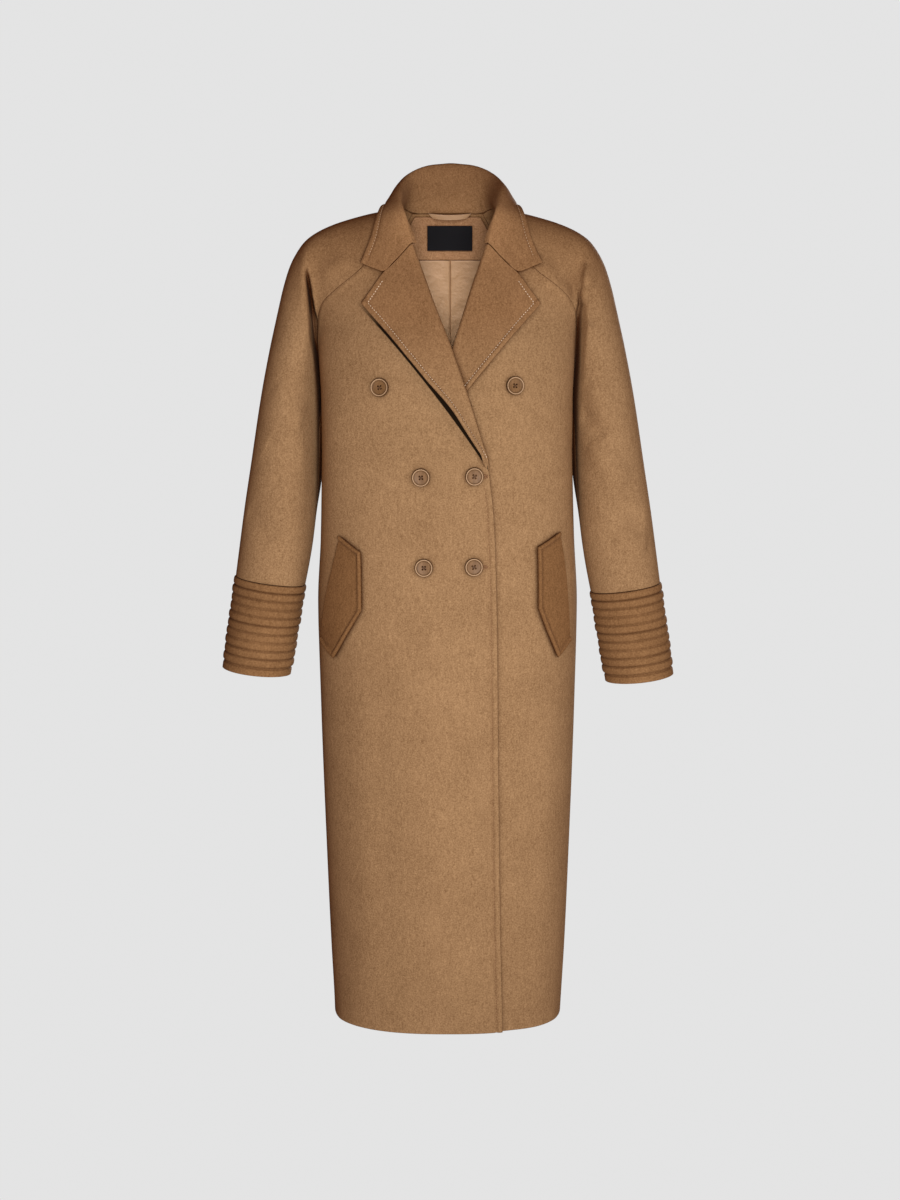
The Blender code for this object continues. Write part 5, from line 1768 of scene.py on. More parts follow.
@dataclass
class Collar:
    """The collar: a stand that rises from the neck seam, a roll, and a fall over the shoulders."""

    sleeves: dict[Side, Sleeve]
    lapels: dict[Side, Lapel]
    back: Skin
    half_rows: int = 17
    stand_columns: int = 5
    fall_columns: int = 8
    roll_reach: float = 0.011
    reach_least: float = 0.0050
    reach_growth: float = 0.09
    roll_out: float = 0.25
    fall_bow: float = 0.35
    fall_reach: float = 0.45
    rise: float = 0.30
    rise_least: float = 0.004
    rise_most: float = 0.010
    end_start: float = 0.78
    corner: tuple[float, float] = (0.1270, -0.0745)
    clear: float = 0.0012
    end_lift: float = 0.0005
    near: float = 0.03
    front_zone: tuple[float, float] = (-0.125, -0.018)
    front_grid: int = 28
    edge_curl: float = 0.0022
    curl_width: float = 0.03
    girth: float = 0.13
    column_step: float = 0.0021
    rim_step: float = 0.0011
    rim_zone: float = 0.011
    fine_rows: int = 190

    def _neckline(self, side: Side, shares: Points) -> Skin:
        """The neck seam, from the middle of the back to the gorge.

        Args:
            side: Side of the coat.
            shares: Shares along the seam.

        Returns:
            Its points and outward normals.
        """
        turns = np.linspace(0, math.radians(RAGLAN["back_turn"][0]), 8)
        back = FORM.skin(turns, RAGLAN["back_height"][0], Face.BACK)
        sleeve = self.sleeves[Side.LEFT]
        heights = np.linspace(RAGLAN["front_height"][0], GORGE_HEIGHT, 6)
        roll = FORM.skin(FORM.turn_of(-FORM.edge(side, heights), heights), heights, Face.FRONT)
        around = [
            back.both(), sleeve.back.both()[0, ::-1][1:], sleeve.front.both()[0, ::-1][1:], roll.both(),
        ]
        line = resampled(np.concatenate(around), shares)
        return Skin(line[:, :3] * side.mirror, unit(line[:, 3:]) * side.mirror)

    def _under(self, side: Side) -> Skin:
        """What the fall lies on: the sleeve, the back and the front.

        Args:
            side: Side of the coat.

        Returns:
            Its points and normals, in rows.
        """
        sleeve = self.sleeves[side]
        grids = [half.both()[:46:2, ::2] for half in (sleeve.front, sleeve.back)]
        grids.append(self.back.both()[-52::2, ::3])
        heights = np.linspace(*self.front_zone, self.front_grid)[:, None]
        seam = np.interp(-heights, -RAGLAN["front_height"], np.radians(RAGLAN["front_turn"]))
        reach = FORM.skin(seam, heights, Face.FRONT).points[..., 0]
        x = side.value * reach * np.linspace(0, 1, self.front_grid)
        grids.append(FORM.front(x, heights, side).both())
        every = np.concatenate([grid.reshape(-1, 6) for grid in grids])
        return Skin(every[:, :3], unit(every[:, 3:]))

    def _lifted(self, points: Points, under: Skin) -> Points:
        """Moves points out until each stands clear of the nearest point under it.

        Args:
            points: The points.
            under: What they lie on.

        Returns:
            The moved points.
        """
        flat = points.reshape(-1, 3).copy()
        for _ in range(3):
            gaps = ((flat[:, None] - under.points[None]) ** 2).sum(axis=-1)
            nearest = gaps.argmin(axis=1)
            height = np.sum((flat - under.points[nearest]) * under.normals[nearest], axis=-1)
            lack = np.where(gaps.min(axis=1) < self.near**2, np.maximum(CLOTH + self.clear - height, 0), 0)
            flat += under.normals[nearest] * lack[:, None]
        return flat.reshape(points.shape)

    def _end_row(self, side: Side) -> Points:
        """The end of the fall: along the lapel's gorge to the notch, then out to the collar's corner.

        Args:
            side: Side of the coat.

        Returns:
            Its points, from the roll out.
        """
        lapel = self.lapels[side]
        top = lapel.skin.points[-1][lapel.hook_steps:]
        notch_x = float(LAPEL_TOP.curve("side_x", NOTCH_ACROSS)) * side.value + NECK_SHIFT
        gorge = top[side.value * top[:, 0] < side.value * notch_x - 0.002]
        notch_z = float(LAPEL_TOP.curve("height", NOTCH_ACROSS))
        x = np.array([notch_x, side.value * self.corner[0] + NECK_SHIFT])
        ends = FORM.front(x, np.array([notch_z, self.corner[1]]), side)
        lifted = ends.points + ends.normals * (CLOTH + LAYER_GAP + self.end_lift)
        return resampled(np.concatenate([gorge, lifted]), np.linspace(0, 1, self.fall_columns))

    def _half(self, side: Side) -> tuple[Points, Points]:
        """Points of half of the showing skin, and the slope of what its seam is sewn to.

        Each row is a curve from the neck seam up to the roll and another from the roll down to the edge.
        Toward the gorge the rows turn into the line of the collar's end.

        Args:
            side: The half's side.

        Returns:
            The points, from the middle of the back to the gorge, and the slopes.
        """
        along = np.linspace(0, 1, self.half_rows)
        seam = self._neckline(side, along)
        run = np.gradient(seam.points, axis=0)
        off_panel = unit(np.cross(run, seam.normals)) * side.value
        off_panel = off_panel * np.sign(off_panel[0, 2])
        start = seam.points - seam.normals * CLOTH + off_panel * NECK_GAP
        shift = np.array([NECK_SHIFT, 0.0, 0.0])
        roll, edge = (
            np.stack([COLLAR.curve(f"{word}_{axis}", along) for axis in "xyz"], axis=-1) * side.mirror + shift
            for word in ("roll", "edge")
        )
        rise = roll - start
        height = np.linalg.norm(rise, axis=-1, keepdims=True)
        out = edge - roll
        face = unit(out)
        level = face - unit(rise) * np.sum(face * unit(rise), axis=-1, keepdims=True)
        roll_out = unit(level + self.roll_out * seam.normals)
        reach = np.minimum(self.roll_reach, self.reach_least + self.reach_growth * height)
        first = start + off_panel * np.clip(self.rise * height, self.rise_least, self.rise_most)
        stand = bezier(start, first, roll - roll_out * reach, roll, np.linspace(0, 1, self.stand_columns))
        fall_length = np.linalg.norm(out, axis=-1, keepdims=True)
        bowed = unit(out - self.fall_bow * roll_out * fall_length)
        last = edge - bowed * fall_length * self.fall_reach
        fall = bezier(roll, roll + roll_out * reach * 1.1, last, edge, np.linspace(0, 1, self.fall_columns))
        end_row = self._end_row(side)
        share = ease((along - self.end_start) / (1 - self.end_start))[:, None, None]
        fall = fall + share * (end_row - fall[-1])[None]
        points = np.concatenate([stand, fall[:, 1:]], axis=1)
        moved = (share * (end_row[0] - roll[-1])[None])[:, 0]
        points[:, self.stand_columns - 1] += moved
        points[:, self.stand_columns - 2] += 0.5 * moved
        falling = points[:, self.stand_columns + 2:]
        points[:, self.stand_columns + 2:] = self._lifted(falling, self._under(side))
        return points, seam.normals

    def build(self, tailor: Tailor) -> None:
        """The collar with stitching inside its outer edge.

        Args:
            tailor: Makes the pieces.
        """
        right, right_slope = self._half(Side.RIGHT)
        left, left_slope = self._half(Side.LEFT)
        coarse = np.concatenate([right[::-1], left[1:]])
        coarse[0] += unit(coarse[1] - coarse[0]) * NECK_GAP
        coarse[-1] += unit(coarse[-2] - coarse[-1]) * NECK_GAP
        rows = np.linspace(0, 1, self.fine_rows + 1)
        columns = spaced(self.girth, self.column_step, self.rim_step, self.rim_zone, False, True)
        points = refined(coarse, rows, columns)
        normals = grid_normals(points)
        normals = normals * np.sign(normals[len(rows) // 2, points.shape[1] // 3, 2])
        slopes = np.concatenate([right_slope[::-1], left_slope[1:]])
        run = lengths(coarse).mean(axis=1)
        normals[:, 0] = -unit(spline(run / run[-1], slopes, rows))
        skin = Skin(points, normals)
        rim = skin.from_edge(Edge.LAST_COLUMN)
        skin = skin.out(LAPEL_SEWING.relief(rim) + self.edge_curl * (1 - ease(rim / self.curl_width)))
        line = skin.inset(Edge.LAST_COLUMN, LAPEL_SEWING.inset)[4:-4]
        extras = [tailor.stitches("collar_stitches", line, COLLAR_THREAD, LAPEL_SEWING)]
        tailor.cloth(
            "collar", skin, CLOTH, LAPEL_WOOL,
            {Edge.LAST_COLUMN: Rim.FREE, Edge.FIRST_ROW: Rim.SEAM},
        )


ALL_FREE = {edge: Rim.FREE for edge in Edge}


@dataclass
class NeckTrim:
    """Facing, lining, label and hanger loop inside the back of the neck."""

    facing_top: float = -0.004
    facing_bottom: float = -0.066
    side_gap: float = 0.006
    lining_top: float = -0.0664
    lining_bottom: float = -0.320
    lining_half_width: float = 0.115
    pleat_height: float = 0.0012
    pleat_half_width: float = 0.010
    label_width: float = 0.067
    label_top: float = -0.0160
    label_bottom: float = -0.0520
    label_cloth: float = 0.0010
    loop_half_length: float = 0.032
    loop_top: float = 0.0015
    loop_bottom: float = -0.0055
    loop_cloth: float = 0.0014
    loop_slant: float = 0.22
    loop_bow: float = 0.003
    loop_sag: float = 0.0015
    gap: float = 0.0008
    layer_gap: float = 0.0006
    shift: float = 0.0035
    facing_grid: tuple[int, int] = (34, 70)
    lining_grid: tuple[int, int] = (90, 121)
    label_grid: tuple[int, int] = (28, 50)
    loop_grid: tuple[int, int] = (12, 49)
    middle_crowding: float = 1.6
    lining_set_in: float = 0.0009
    crease_depth: float = 0.0016
    crease_width: float = 0.0012

    def _half_width(self, heights: Points) -> Points:
        """How far sideways the back reaches at a height in the yoke."""
        turn = np.interp(-heights, -RAGLAN["back_height"], np.radians(RAGLAN["back_turn"]))
        return FORM.skin(turn, heights, Face.BACK).points[..., 0]

    def _inside(self, x: Points, heights: Points, depth: Points | float) -> Skin:
        """A skin that faces into the coat.

        Args:
            x: Sideways places.
            heights: Their heights.
            depth: Depth in from the back's outer skin.

        Returns:
            The skin.
        """
        x, heights = np.broadcast_arrays(x, heights)
        back = FORM.skin(FORM.turn_of(x, heights), heights, Face.BACK)
        inward = np.broadcast_to(depth, x.shape)[..., None]
        return Skin(back.points - back.normals * inward, -back.normals)

    def build(self, tailor: Tailor) -> None:
        """All four pieces, each a layer further in than the one that it lies on.

        Args:
            tailor: Makes the pieces.
        """
        layer = CLOTH + self.gap
        rows, columns = self.facing_grid
        heights = np.linspace(self.facing_top, self.facing_bottom, rows)[:, None]
        x = (self._half_width(heights) - self.side_gap) * np.linspace(-1, 1, columns)
        skin = self._inside(x, heights, layer + LINING_CLOTH)
        tailor.cloth(
            "back_neck_facing", skin, LINING_CLOTH, FACING_WOOL, {Edge.LAST_ROW: Rim.FREE}
        )
        rows, columns = self.lining_grid
        heights = np.linspace(self.lining_top, self.lining_bottom, rows)[:, None]
        reach = np.minimum(self._half_width(heights) - self.side_gap, self.lining_half_width)
        shares = np.linspace(-1, 1, columns)
        crowded = np.sign(shares) * np.abs(shares) ** self.middle_crowding
        x = reach * crowded + self.shift * (1 - shares**2)
        pleat = np.clip(1 - (self.shift - x) / self.pleat_half_width, 0, 1) * (x <= self.shift)
        ripple = 0.0003 * np.sin(x * 190 + 2 * np.sin(heights * 70))
        ripple = ripple + 0.0002 * np.sin(heights * 260 - x * 140)
        crease = self.crease_depth * bell(x - self.shift, self.crease_width)
        ripple = ripple * ease((self.lining_top - heights) / 0.03) - crease
        depth = layer + LINING_CLOTH + self.pleat_height * pleat + self.lining_set_in + ripple
        skin = self._inside(x, heights, depth)
        tailor.cloth("back_lining", skin, LINING_CLOTH, LINING, {})
        inward = layer + LINING_CLOTH + self.layer_gap
        rows, columns = self.label_grid
        heights = np.linspace(self.label_top, self.label_bottom, rows)[:, None]
        x = self.label_width / 2 * np.linspace(-1, 1, columns) + self.shift
        skin = self._inside(x, heights, inward + self.label_cloth)
        tailor.cloth(
            "neck_label", skin, self.label_cloth, LABEL,
            ALL_FREE,
        )
        rows, columns = self.loop_grid
        shares = np.linspace(-1, 1, columns)
        bow = 1 - shares**2
        heights = np.linspace(self.loop_top, self.loop_bottom, rows)[:, None] - self.loop_sag * bow
        reach = (1 - self.loop_slant * np.linspace(0, 1, rows)[:, None]) * self.loop_half_length
        depth = inward + self.loop_bow * bow + self.loop_cloth
        skin = self._inside(reach * shares + self.shift, heights, depth)
        tailor.cloth(
            "hanger_loop", skin, self.loop_cloth, LINING,
            ALL_FREE,
        )


@dataclass
class PocketFlap:
    """A five-cornered pocket flap, sewn on its edge by the side and free at its other edges."""

    side: Side
    lift: float = 0.0015
    standoff: float = 0.0012
    rows_a_step: int = 16
    columns: int = 44

    def __post_init__(self) -> None:
        """Keeps the outline of this side's flap: its sewn and its free edge, from the top down."""
        if self.side is Side.RIGHT:
            self.outline = Table(
                "sewn_x sewn_z free_x free_z",
                (0.1515, -0.4580, 0.1220, -0.4790),
                (0.1590, -0.4890, 0.1214, -0.5030),
                (0.1670, -0.5220, 0.1211, -0.5340),
                (0.1745, -0.5550, 0.1210, -0.5625),
                (0.1790, -0.5860, 0.1400, -0.5960),
                (0.1815, -0.6160, 0.1640, -0.6375),
            )
        else:
            self.outline = Table(
                "sewn_x sewn_z free_x free_z",
                (0.1585, -0.4530, 0.1265, -0.4720),
                (0.1640, -0.4850, 0.1275, -0.4980),
                (0.1685, -0.5180, 0.1280, -0.5300),
                (0.1715, -0.5520, 0.1280, -0.5600),
                (0.1735, -0.5840, 0.1405, -0.5940),
                (0.1750, -0.6140, 0.1570, -0.6345),
            )

    def skin(self) -> Skin:
        """The flap's outer skin: rows run straight from the sewn edge to the free one, over the front.

        Returns:
            The skin, from the top down.
        """
        count = len(self.outline["sewn_x"])
        rows = np.linspace(0, count - 1, (count - 1) * self.rows_a_step + 1)
        steps = np.arange(count)
        line = {name: np.interp(rows, steps, self.outline[name])[:, None] for name in self.outline.names}
        shares = np.linspace(0, 1, self.columns + 1)
        sewn = FORM.turn_of(line["sewn_x"], line["sewn_z"])
        free = FORM.turn_of(line["free_x"], line["free_z"])
        heights = line["sewn_z"] * (1 - shares) + line["free_z"] * shares
        turns = self.side.value * (sewn * (1 - shares) + free * shares)
        skin = FORM.skin(turns, heights, Face.FRONT)
        return skin.out(self.lift + self.standoff * shares + FLAP_CLOTH)

    def build(self, tailor: Tailor) -> None:
        """The flap with a raised lip and stitching inside its three free edges.

        Args:
            tailor: Makes the pieces.
        """
        skin = self.skin()
        sewing = FLAP_SEWING
        free = [skin.from_edge(edge) for edge in (Edge.FIRST_ROW, Edge.LAST_ROW, Edge.LAST_COLUMN)]
        shown = skin.out(sewing.relief(np.minimum.reduce(free)))
        top = shown.inset(Edge.FIRST_ROW, sewing.inset)
        bottom = shown.inset(Edge.LAST_ROW, sewing.inset)
        beside = shown.inset(Edge.LAST_COLUMN, sewing.inset)
        across = free[2][0] > sewing.inset
        down = (free[0][:, -1] > sewing.inset) & (free[1][:, -1] > sewing.inset)
        line = np.concatenate([top[across], beside[down], bottom[free[2][-1] > sewing.inset][::-1]])
        extras = [tailor.stitches(f"pocket_flap_{self.side.word}_stitches", line, SEWING_THREAD, sewing)]
        free_rims = {edge: Rim.FREE for edge in (Edge.FIRST_ROW, Edge.LAST_ROW, Edge.LAST_COLUMN)}
        tailor.cloth(
            f"pocket_flap_{self.side.word}", shown, FLAP_CLOTH, FLAP_WOOL,
            free_rims,
        )


@dataclass
class Button:
    """A four-hole horn button: a raised rim, a dished middle, and thread crossed through its holes."""

    number: int
    x: float
    height: float
    side: Side
    turned: float
    radius: float = 0.0130
    lift: float = 0.0005
    thickness: float = 0.0040
    rim_height: float = 0.0040
    rim_line: float = 0.87
    dish_height: float = 0.0022
    dish_share: float = 0.74
    dish_hollow: float = 0.0006
    edge_height: float = 0.0012
    thread_radius: float = 0.00042
    hole_radius: float = 0.0011
    hole_circle: float = 0.0027
    hole_depth: float = 0.0017
    edge_shade: float = 0.70
    dish_shade: float = 0.30
    rings: int = 40
    spokes: int = 64

    def _place(self) -> tuple[Points, Points]:
        """The button's foot on the front, and its directions.

        Returns:
            The foot, and the directions across, up and out in rows.
        """
        front = FORM.front(np.array(self.x), np.array(self.height), self.side)
        out = front.normals
        across = unit(np.cross(np.array([0.0, 0.0, 1.0]), out))
        return front.points + out * self.lift, np.stack([across, np.cross(out, across), out])

    def _holes(self) -> Points:
        """Middles of the four holes on the button's face."""
        turns = np.radians(self.turned + 45 + 90 * np.arange(4))
        return self.hole_circle * np.stack([np.cos(turns), np.sin(turns)], axis=-1)

    def build(self, tailor: Tailor) -> None:
        """The horn as a height over a disc, with its four dents, and the two crossed threads.

        Args:
            tailor: Makes the pieces.
        """
        foot, axes = self._place()
        share = np.linspace(0.012, 1, self.rings)[:, None]
        turn = circle(self.spokes)[None]
        face_x, face_y = np.broadcast_arrays(
            self.radius * share * np.cos(turn), self.radius * share * np.sin(turn)
        )
        rise = ease((share - self.dish_share) / 0.13)
        fall = np.sqrt(np.maximum(1 - ((share - 0.89) / 0.11).clip(0, 1) ** 2, 0))
        dish = self.dish_height - self.dish_hollow * (1 - (share / self.dish_share).clip(0, 1) ** 2)
        height = dish + (self.rim_height - self.dish_height) * rise
        height = self.edge_height + (height - self.edge_height) * fall + 0 * turn
        # Painted shade: dark round the outer edge, a ring inside the rim and the holes.
        painted_button_shade = self.edge_shade * ease((share - 0.93) / 0.05) + 0 * turn
        painted_button_shade = painted_button_shade + self.dish_shade * bell(share - 0.73, 0.05)
        for x, y in self._holes():
            gap = np.hypot(face_x - x, face_y - y)
            dent = 1 - ease((gap - 0.55 * self.hole_radius) / (0.7 * self.hole_radius))
            height = height - self.hole_depth * dent
            painted_button_shade = np.maximum(painted_button_shade, dent)
        under = np.array([[1.0, 0.0009], [0.97, 0.0002], [0.86, 0.0], [0.012, 0.0]])
        low_x = self.radius * under[:, :1] * np.cos(turn)
        low_y = self.radius * under[:, :1] * np.sin(turn)
        low = under[:, 1:] + 0 * turn
        local = np.stack([
            np.concatenate([face_x, low_x]), np.concatenate([face_y, low_y]), np.concatenate([height, low]),
        ], axis=-1).reshape(-1, 3)
        points = foot + local @ axes
        rows = self.rings + len(under)
        sides = flipped(grid_faces(rows, self.spokes, around=True))
        ring = np.arange(self.spokes)
        lids = np.stack([ring, ring[::-1] + (rows - 1) * self.spokes])
        made = tailor.piece(f"button_{self.number}_horn", points, [sides, lids], HORN)
        # Painted highlight: a pale band along the top of the rim.
        pale = np.concatenate([bell(share - self.rim_line, 0.05), 0 * under[:, :1]]) + 0 * turn
        # Painted shade on the whole underside as well.
        painted_button_shade = np.concatenate([painted_button_shade, 0 * under[:, :1] + self.edge_shade + 0 * turn])
        mark(made, "rim", pale)
        mark(made, "painted_button_shade", painted_button_shade)
        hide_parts(f"button_{self.number}")
        self._thread(tailor, foot, axes)

    def _thread(self, tailor: Tailor, foot: Points, axes: Points) -> None:
        """Two crossed threads, each a round rod along an arch from hole to hole.

        Args:
            tailor: Makes the piece.
            foot: The button's foot.
            axes: Its directions, in rows.
        """
        holes = self._holes()
        along = np.linspace(-1, 1, 13)
        turn = circle(8)
        points, faces = [], []
        for number in range(2):
            start, end = holes[number], holes[number + 2]
            middle = (start + end) / 2 + along[:, None] * (end - start) / 2
            arch = self.dish_height - 0.0002 + 0.0003 * number - 0.0016 * along**6
            aside = unit(np.array([start[1] - end[1], end[0] - start[0]]))
            spread = self.thread_radius * np.cos(turn)
            x = middle[:, :1] + aside[0] * spread
            y = middle[:, 1:] + aside[1] * spread
            z = arch[:, None] + 0.00045 * np.sin(turn)
            local = np.stack([x, y, z], axis=-1).reshape(-1, 3)
            points.append(foot + local @ axes)
            before = number * len(local)
            faces.append(grid_faces(len(along), len(turn), around=True) + before)
            ring = np.arange(len(turn)) + before
            ends = np.stack([ring[::-1], ring + len(local) - len(turn)])
            faces.append(np.concatenate([ends[:, :4], ends[:, [0, 3, 4, 7]], ends[:, 4:]]))
        tailor.piece(f"button_{self.number}_thread", np.concatenate(points), faces, BUTTON_THREAD)


@dataclass
class Buttonhole:
    """A worked buttonhole: a ring of thread round a slit, most of it under its button."""

    number: int
    x: float
    height: float
    half_length: float = 0.0125
    half_width: float = 0.0019
    thread: float = 0.0009
    steps: int = 72

    def build(self, tailor: Tailor) -> None:
        """The ring: a round profile carried along a long loop on the front, ribbed by its stitches.

        Args:
            tailor: Makes the pieces.
        """
        turn = circle(self.steps)
        loop_x = self.half_length * np.sign(np.cos(turn)) * np.abs(np.cos(turn)) ** 0.6
        loop_z = self.half_width * np.sign(np.sin(turn)) * np.abs(np.sin(turn)) ** 0.6
        front = FORM.front(self.x + loop_x, self.height + loop_z, Side.RIGHT)
        ahead = unit(np.roll(front.points, -1, axis=0) - np.roll(front.points, 1, axis=0))
        aside = np.cross(ahead, front.normals)
        round_turn = circle(8)
        reach = self.thread * (1 + 0.18 * np.cos(turn * self.steps / 2))[:, None, None]
        ring = (
            aside[:, None] * np.cos(round_turn)[None, :, None] * 1.1
            + front.normals[:, None] * np.sin(round_turn)[None, :, None] * 0.8
        )
        points = front.points[:, None] + ring * reach
        faces = flipped(grid_faces(self.steps, len(round_turn), around=True, along=True))
        tailor.piece(f"buttonhole_{self.number}", points.reshape(-1, 3), [faces], SEWING_THREAD)


@dataclass(frozen=True)
class Studio:
    """The camera, the lights and the even pale floor and backdrop."""

    camera_place: tuple[float, float, float] = (0.0037, -3.0, -0.10)
    camera_tilt: float = 8.8
    lens: float = 61.518
    sensor: float = 36.0
    backdrop: float = 0.774
    floor_height: float = -1.50
    dome_radius: float = 9.0
    # Name, place, width and power of each square light, which points at the middle of the coat
    soft_lights: tuple[tuple[str, Colour, float, float], ...] = (
        ("key", (0.0, -3.0, -0.3), 0.5, 26.0),
        ("middle", (0.25, -2.0, -0.5), 0.5, 10.0),
        ("near", (0.0, -1.4, -0.6), 0.5, 4.0),
        ("side", (2.4, -1.8, -0.4), 0.7, 14.0),
        ("behind", (0.9, 2.6, 0.1), 1.0, 74.0),
    )
    coat_middle: Colour = (0.0, 0.0, -0.55)
    neck_power: float = 62.0
    room_colour: tuple[float, float, float, float] = (1.0, 0.40, 0.17, 1.0)
    room_strength: float = 0.125

    def build(self) -> None:
        """Everything that isn't the coat."""
        scene = bpy.context.scene
        scene.view_settings.view_transform = "Standard"
        camera = bpy.data.cameras.new("camera")
        camera.sensor_width = self.sensor
        camera.lens = self.lens
        holder = bpy.data.objects.new("camera", camera)
        holder.location = self.camera_place
        holder.rotation_euler = (math.radians(90 - self.camera_tilt), 0.0, 0.0)
        scene.collection.objects.link(holder)
        scene.camera = holder
        for name, place, size, power in self.soft_lights:
            lamp = bpy.data.lights.new(name, "AREA")
            lamp.size, lamp.energy = size, power
            self._aim(lamp, place, self.coat_middle)
        self._neck_light()
        world = bpy.data.worlds.new("room")
        world.use_nodes = True
        room = world.node_tree.nodes["Background"]
        room.inputs["Color"].default_value = self.room_colour
        room.inputs["Strength"].default_value = self.room_strength
        scene.world = world
        self._backdrop()

    def _neck_light(self) -> None:
        """A narrow light down into the neck, on the lining and its facing."""
        lamp = bpy.data.lights.new("neck", "SPOT")
        lamp.energy = self.neck_power
        lamp.spot_size, lamp.spot_blend = 0.11, 0.6
        lamp.shadow_soft_size = 0.05
        self._aim(lamp, (0.0, -1.0, 0.75), (0.004, 0.09, -0.11))

    def _aim(self, lamp: bpy.types.Light, place: Colour, target: Colour) -> None:
        """Sets up a light out of the camera's sight.

        Args:
            lamp: The light.
            place: Its place.
            target: The place that it points at.
        """
        holder = bpy.data.objects.new(lamp.name, lamp)
        holder.location = place
        toward = Vector(target) - Vector(place)
        holder.rotation_euler = toward.to_track_quat("-Z", "Y").to_euler()
        holder.visible_camera = False
        bpy.context.scene.collection.objects.link(holder)

    def _backdrop(self) -> None:
        """Floor and backdrop in one: a profile that runs out flat and bends over, turned round the middle."""
        bend = np.radians(np.linspace(-90, 88, 40))
        radius = self.dome_radius
        out = np.concatenate([np.linspace(0.02, radius * 0.6, 12), radius * (0.6 + 0.4 * np.cos(bend))])
        up = np.concatenate([np.zeros(12), radius * 0.5 * (1 + np.sin(bend))]) + self.floor_height
        turn = circle(72)
        x = out[:, None] * np.cos(turn)
        y = out[:, None] * np.sin(turn)
        points = np.stack(np.broadcast_arrays(x, y, up[:, None]), axis=-1).reshape(-1, 3)
        quads = grid_faces(len(out), len(turn), around=True)
        mesh = bpy.data.meshes.new("backdrop")
        mesh.from_pydata(points.tolist(), [], quads.tolist() + [list(range(len(turn)))])
        graph = Graph("backdrop_pale")
        grey = (self.backdrop, self.backdrop, self.backdrop, 1.0)
        mesh.materials.append(graph.done(graph.node("ShaderNodeEmission", {}, {"Color": grey})))
        made = bpy.data.objects.new("backdrop", mesh)
        bpy.context.scene.collection.objects.link(made)
        for ray in ("diffuse", "glossy", "transmission", "shadow"):
            setattr(made, f"visible_{ray}", False)
        mesh.materials[0].cycles.emission_sampling = "NONE"


BUTTONS = (
    Button(1, -0.0947, -0.2455, Side.RIGHT, 8.0),
    Button(2, 0.0947, -0.2430, Side.LEFT, -6.0),
    Button(3, -0.0373, -0.3715, Side.RIGHT, 4.0),
    Button(4, 0.0380, -0.3700, Side.RIGHT, -10.0),
    Button(5, -0.0333, -0.4996, Side.RIGHT, 2.0),
    Button(6, 0.0375, -0.4985, Side.RIGHT, 12.0),
)
BUTTONHOLES = (Buttonhole(4, 0.0440, -0.3700), Buttonhole(6, 0.0435, -0.4985))


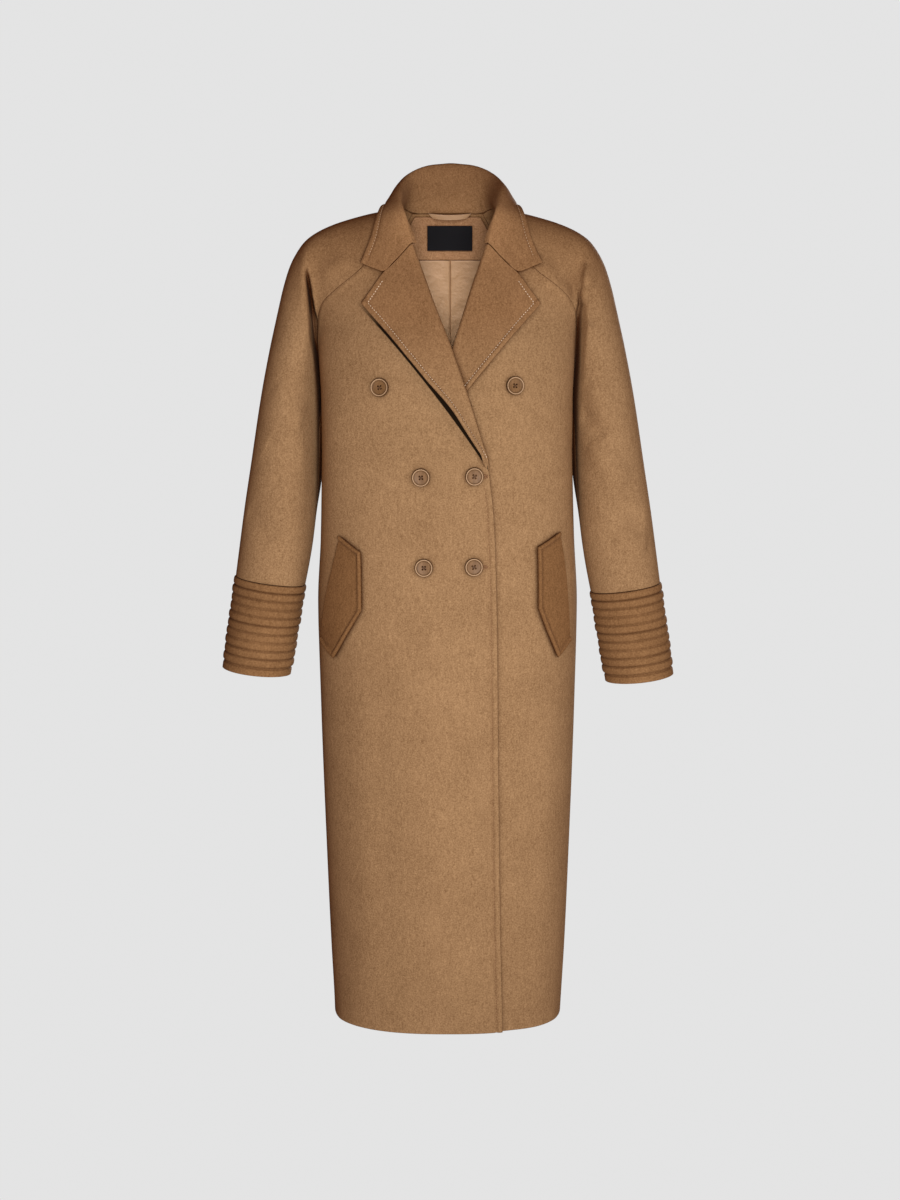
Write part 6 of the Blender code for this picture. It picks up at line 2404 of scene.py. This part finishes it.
def folds(sleeves: dict[Side, Sleeve]) -> Drape:
    """The coat's soft folds, uneven on the two sides.

    Args:
        sleeves: The sleeves, whose own folds lie on their halves.

    Returns:
        All the folds.
    """
    drape = Drape()
    drape.on_body(
        Face.FRONT,
        (-0.012, -0.52, -0.020, -1.15, 0.034, 0.0036),
        (-0.160, -1.19, 0.160, -1.19, 0.060, -0.0060),
        (-0.098, -0.60, -0.096, -1.16, 0.028, -0.0036),
        (-0.152, -0.60, -0.154, -1.19, 0.060, -0.0075),
        (0.152, -0.62, 0.152, -1.19, 0.055, -0.0032),
        (-0.168, -0.16, -0.164, -0.47, 0.046, 0.0060),
        (0.166, -0.18, 0.164, -0.46, 0.046, 0.0030),
        (0.032, -0.62, 0.040, -1.16, 0.026, -0.0032),
        (0.125, -0.66, 0.118, -1.15, 0.026, -0.0030),
        (-0.150, -0.29, -0.070, -0.36, 0.022, -0.0018),
        (0.150, -0.28, 0.105, -0.40, 0.024, -0.0020),
    )
    drape.on_body(
        Face.BACK,
        (-0.060, -0.30, -0.075, -1.14, 0.040, -0.0080),
        (0.055, -0.34, 0.070, -1.15, 0.038, -0.0075),
        (0.000, -0.48, 0.006, -1.16, 0.036, 0.0036),
        (-0.130, -0.50, -0.140, -1.15, 0.028, 0.0040),
        (0.128, -0.56, 0.142, -1.15, 0.030, 0.0040),
        (-0.125, -0.17, -0.045, -0.26, 0.022, -0.0030),
        (0.130, -0.18, 0.060, -0.28, 0.022, -0.0030),
    )
    drape.on_skin(
        sleeves[Side.LEFT].front,
        (0.120, -0.062, 0.176, -0.128, 0.012, 0.0045),
        (0.178, -0.085, 0.186, -0.125, 0.010, -0.0054),
        (0.201, -0.075, 0.193, -0.130, 0.009, 0.0054),
        (0.207, -0.105, 0.203, -0.160, 0.010, -0.0054),
        (0.200, -0.245, 0.232, -0.280, 0.016, 0.0045),
        (0.192, -0.288, 0.226, -0.318, 0.014, -0.0065),
        (0.200, -0.335, 0.262, -0.385, 0.020, 0.0065),
        (0.235, -0.420, 0.285, -0.440, 0.016, -0.0054),
        (0.240, -0.465, 0.290, -0.480, 0.016, 0.0047),
    )
    drape.on_skin(
        sleeves[Side.RIGHT].front,
        (-0.140, -0.070, -0.180, -0.090, 0.014, 0.0036),
        (-0.250, -0.250, -0.205, -0.300, 0.020, 0.0043),
        (-0.262, -0.330, -0.210, -0.350, 0.018, -0.0040),
        (-0.240, -0.380, -0.218, -0.470, 0.018, 0.0040),
        (-0.290, -0.430, -0.250, -0.470, 0.016, -0.0040),
    )
    drape.on_skin(
        sleeves[Side.LEFT].back,
        (0.215, -0.200, 0.262, -0.270, 0.018, -0.0061),
        (0.205, -0.335, 0.275, -0.370, 0.018, 0.0058),
        (0.220, -0.425, 0.290, -0.445, 0.016, -0.0058),
        (0.140, -0.060, 0.190, -0.120, 0.016, -0.0047),
    )
    drape.on_skin(
        sleeves[Side.RIGHT].back,
        (-0.205, -0.180, -0.255, -0.255, 0.020, 0.0054),
        (-0.210, -0.315, -0.270, -0.330, 0.018, -0.0061),
        (-0.215, -0.400, -0.285, -0.425, 0.018, 0.0054),
        (-0.150, -0.065, -0.195, -0.110, 0.016, -0.0050),
    )
    return drape


def main() -> None:
    """Builds the coat piece by piece, then the studio."""
    logging.basicConfig(level=logging.INFO, format="%(name)s %(message)s")
    sleeves = {side: Sleeve(side) for side in Side}
    tailor = Tailor(folds(sleeves))
    panels = BodyPanels(sleeves)
    panels.build(tailor)
    for sleeve in sleeves.values():
        sleeve.build(tailor)
    lapels = {side: Lapel(side) for side in Side}
    for lapel in lapels.values():
        lapel.build(tailor)
    Collar(sleeves, lapels, panels.back()).build(tailor)
    NeckTrim().build(tailor)
    for side in Side:
        PocketFlap(side).build(tailor)
    for item in (*BUTTONS, *BUTTONHOLES):
        item.build(tailor)
    Studio().build()


if __name__ == "__main__":
    main()
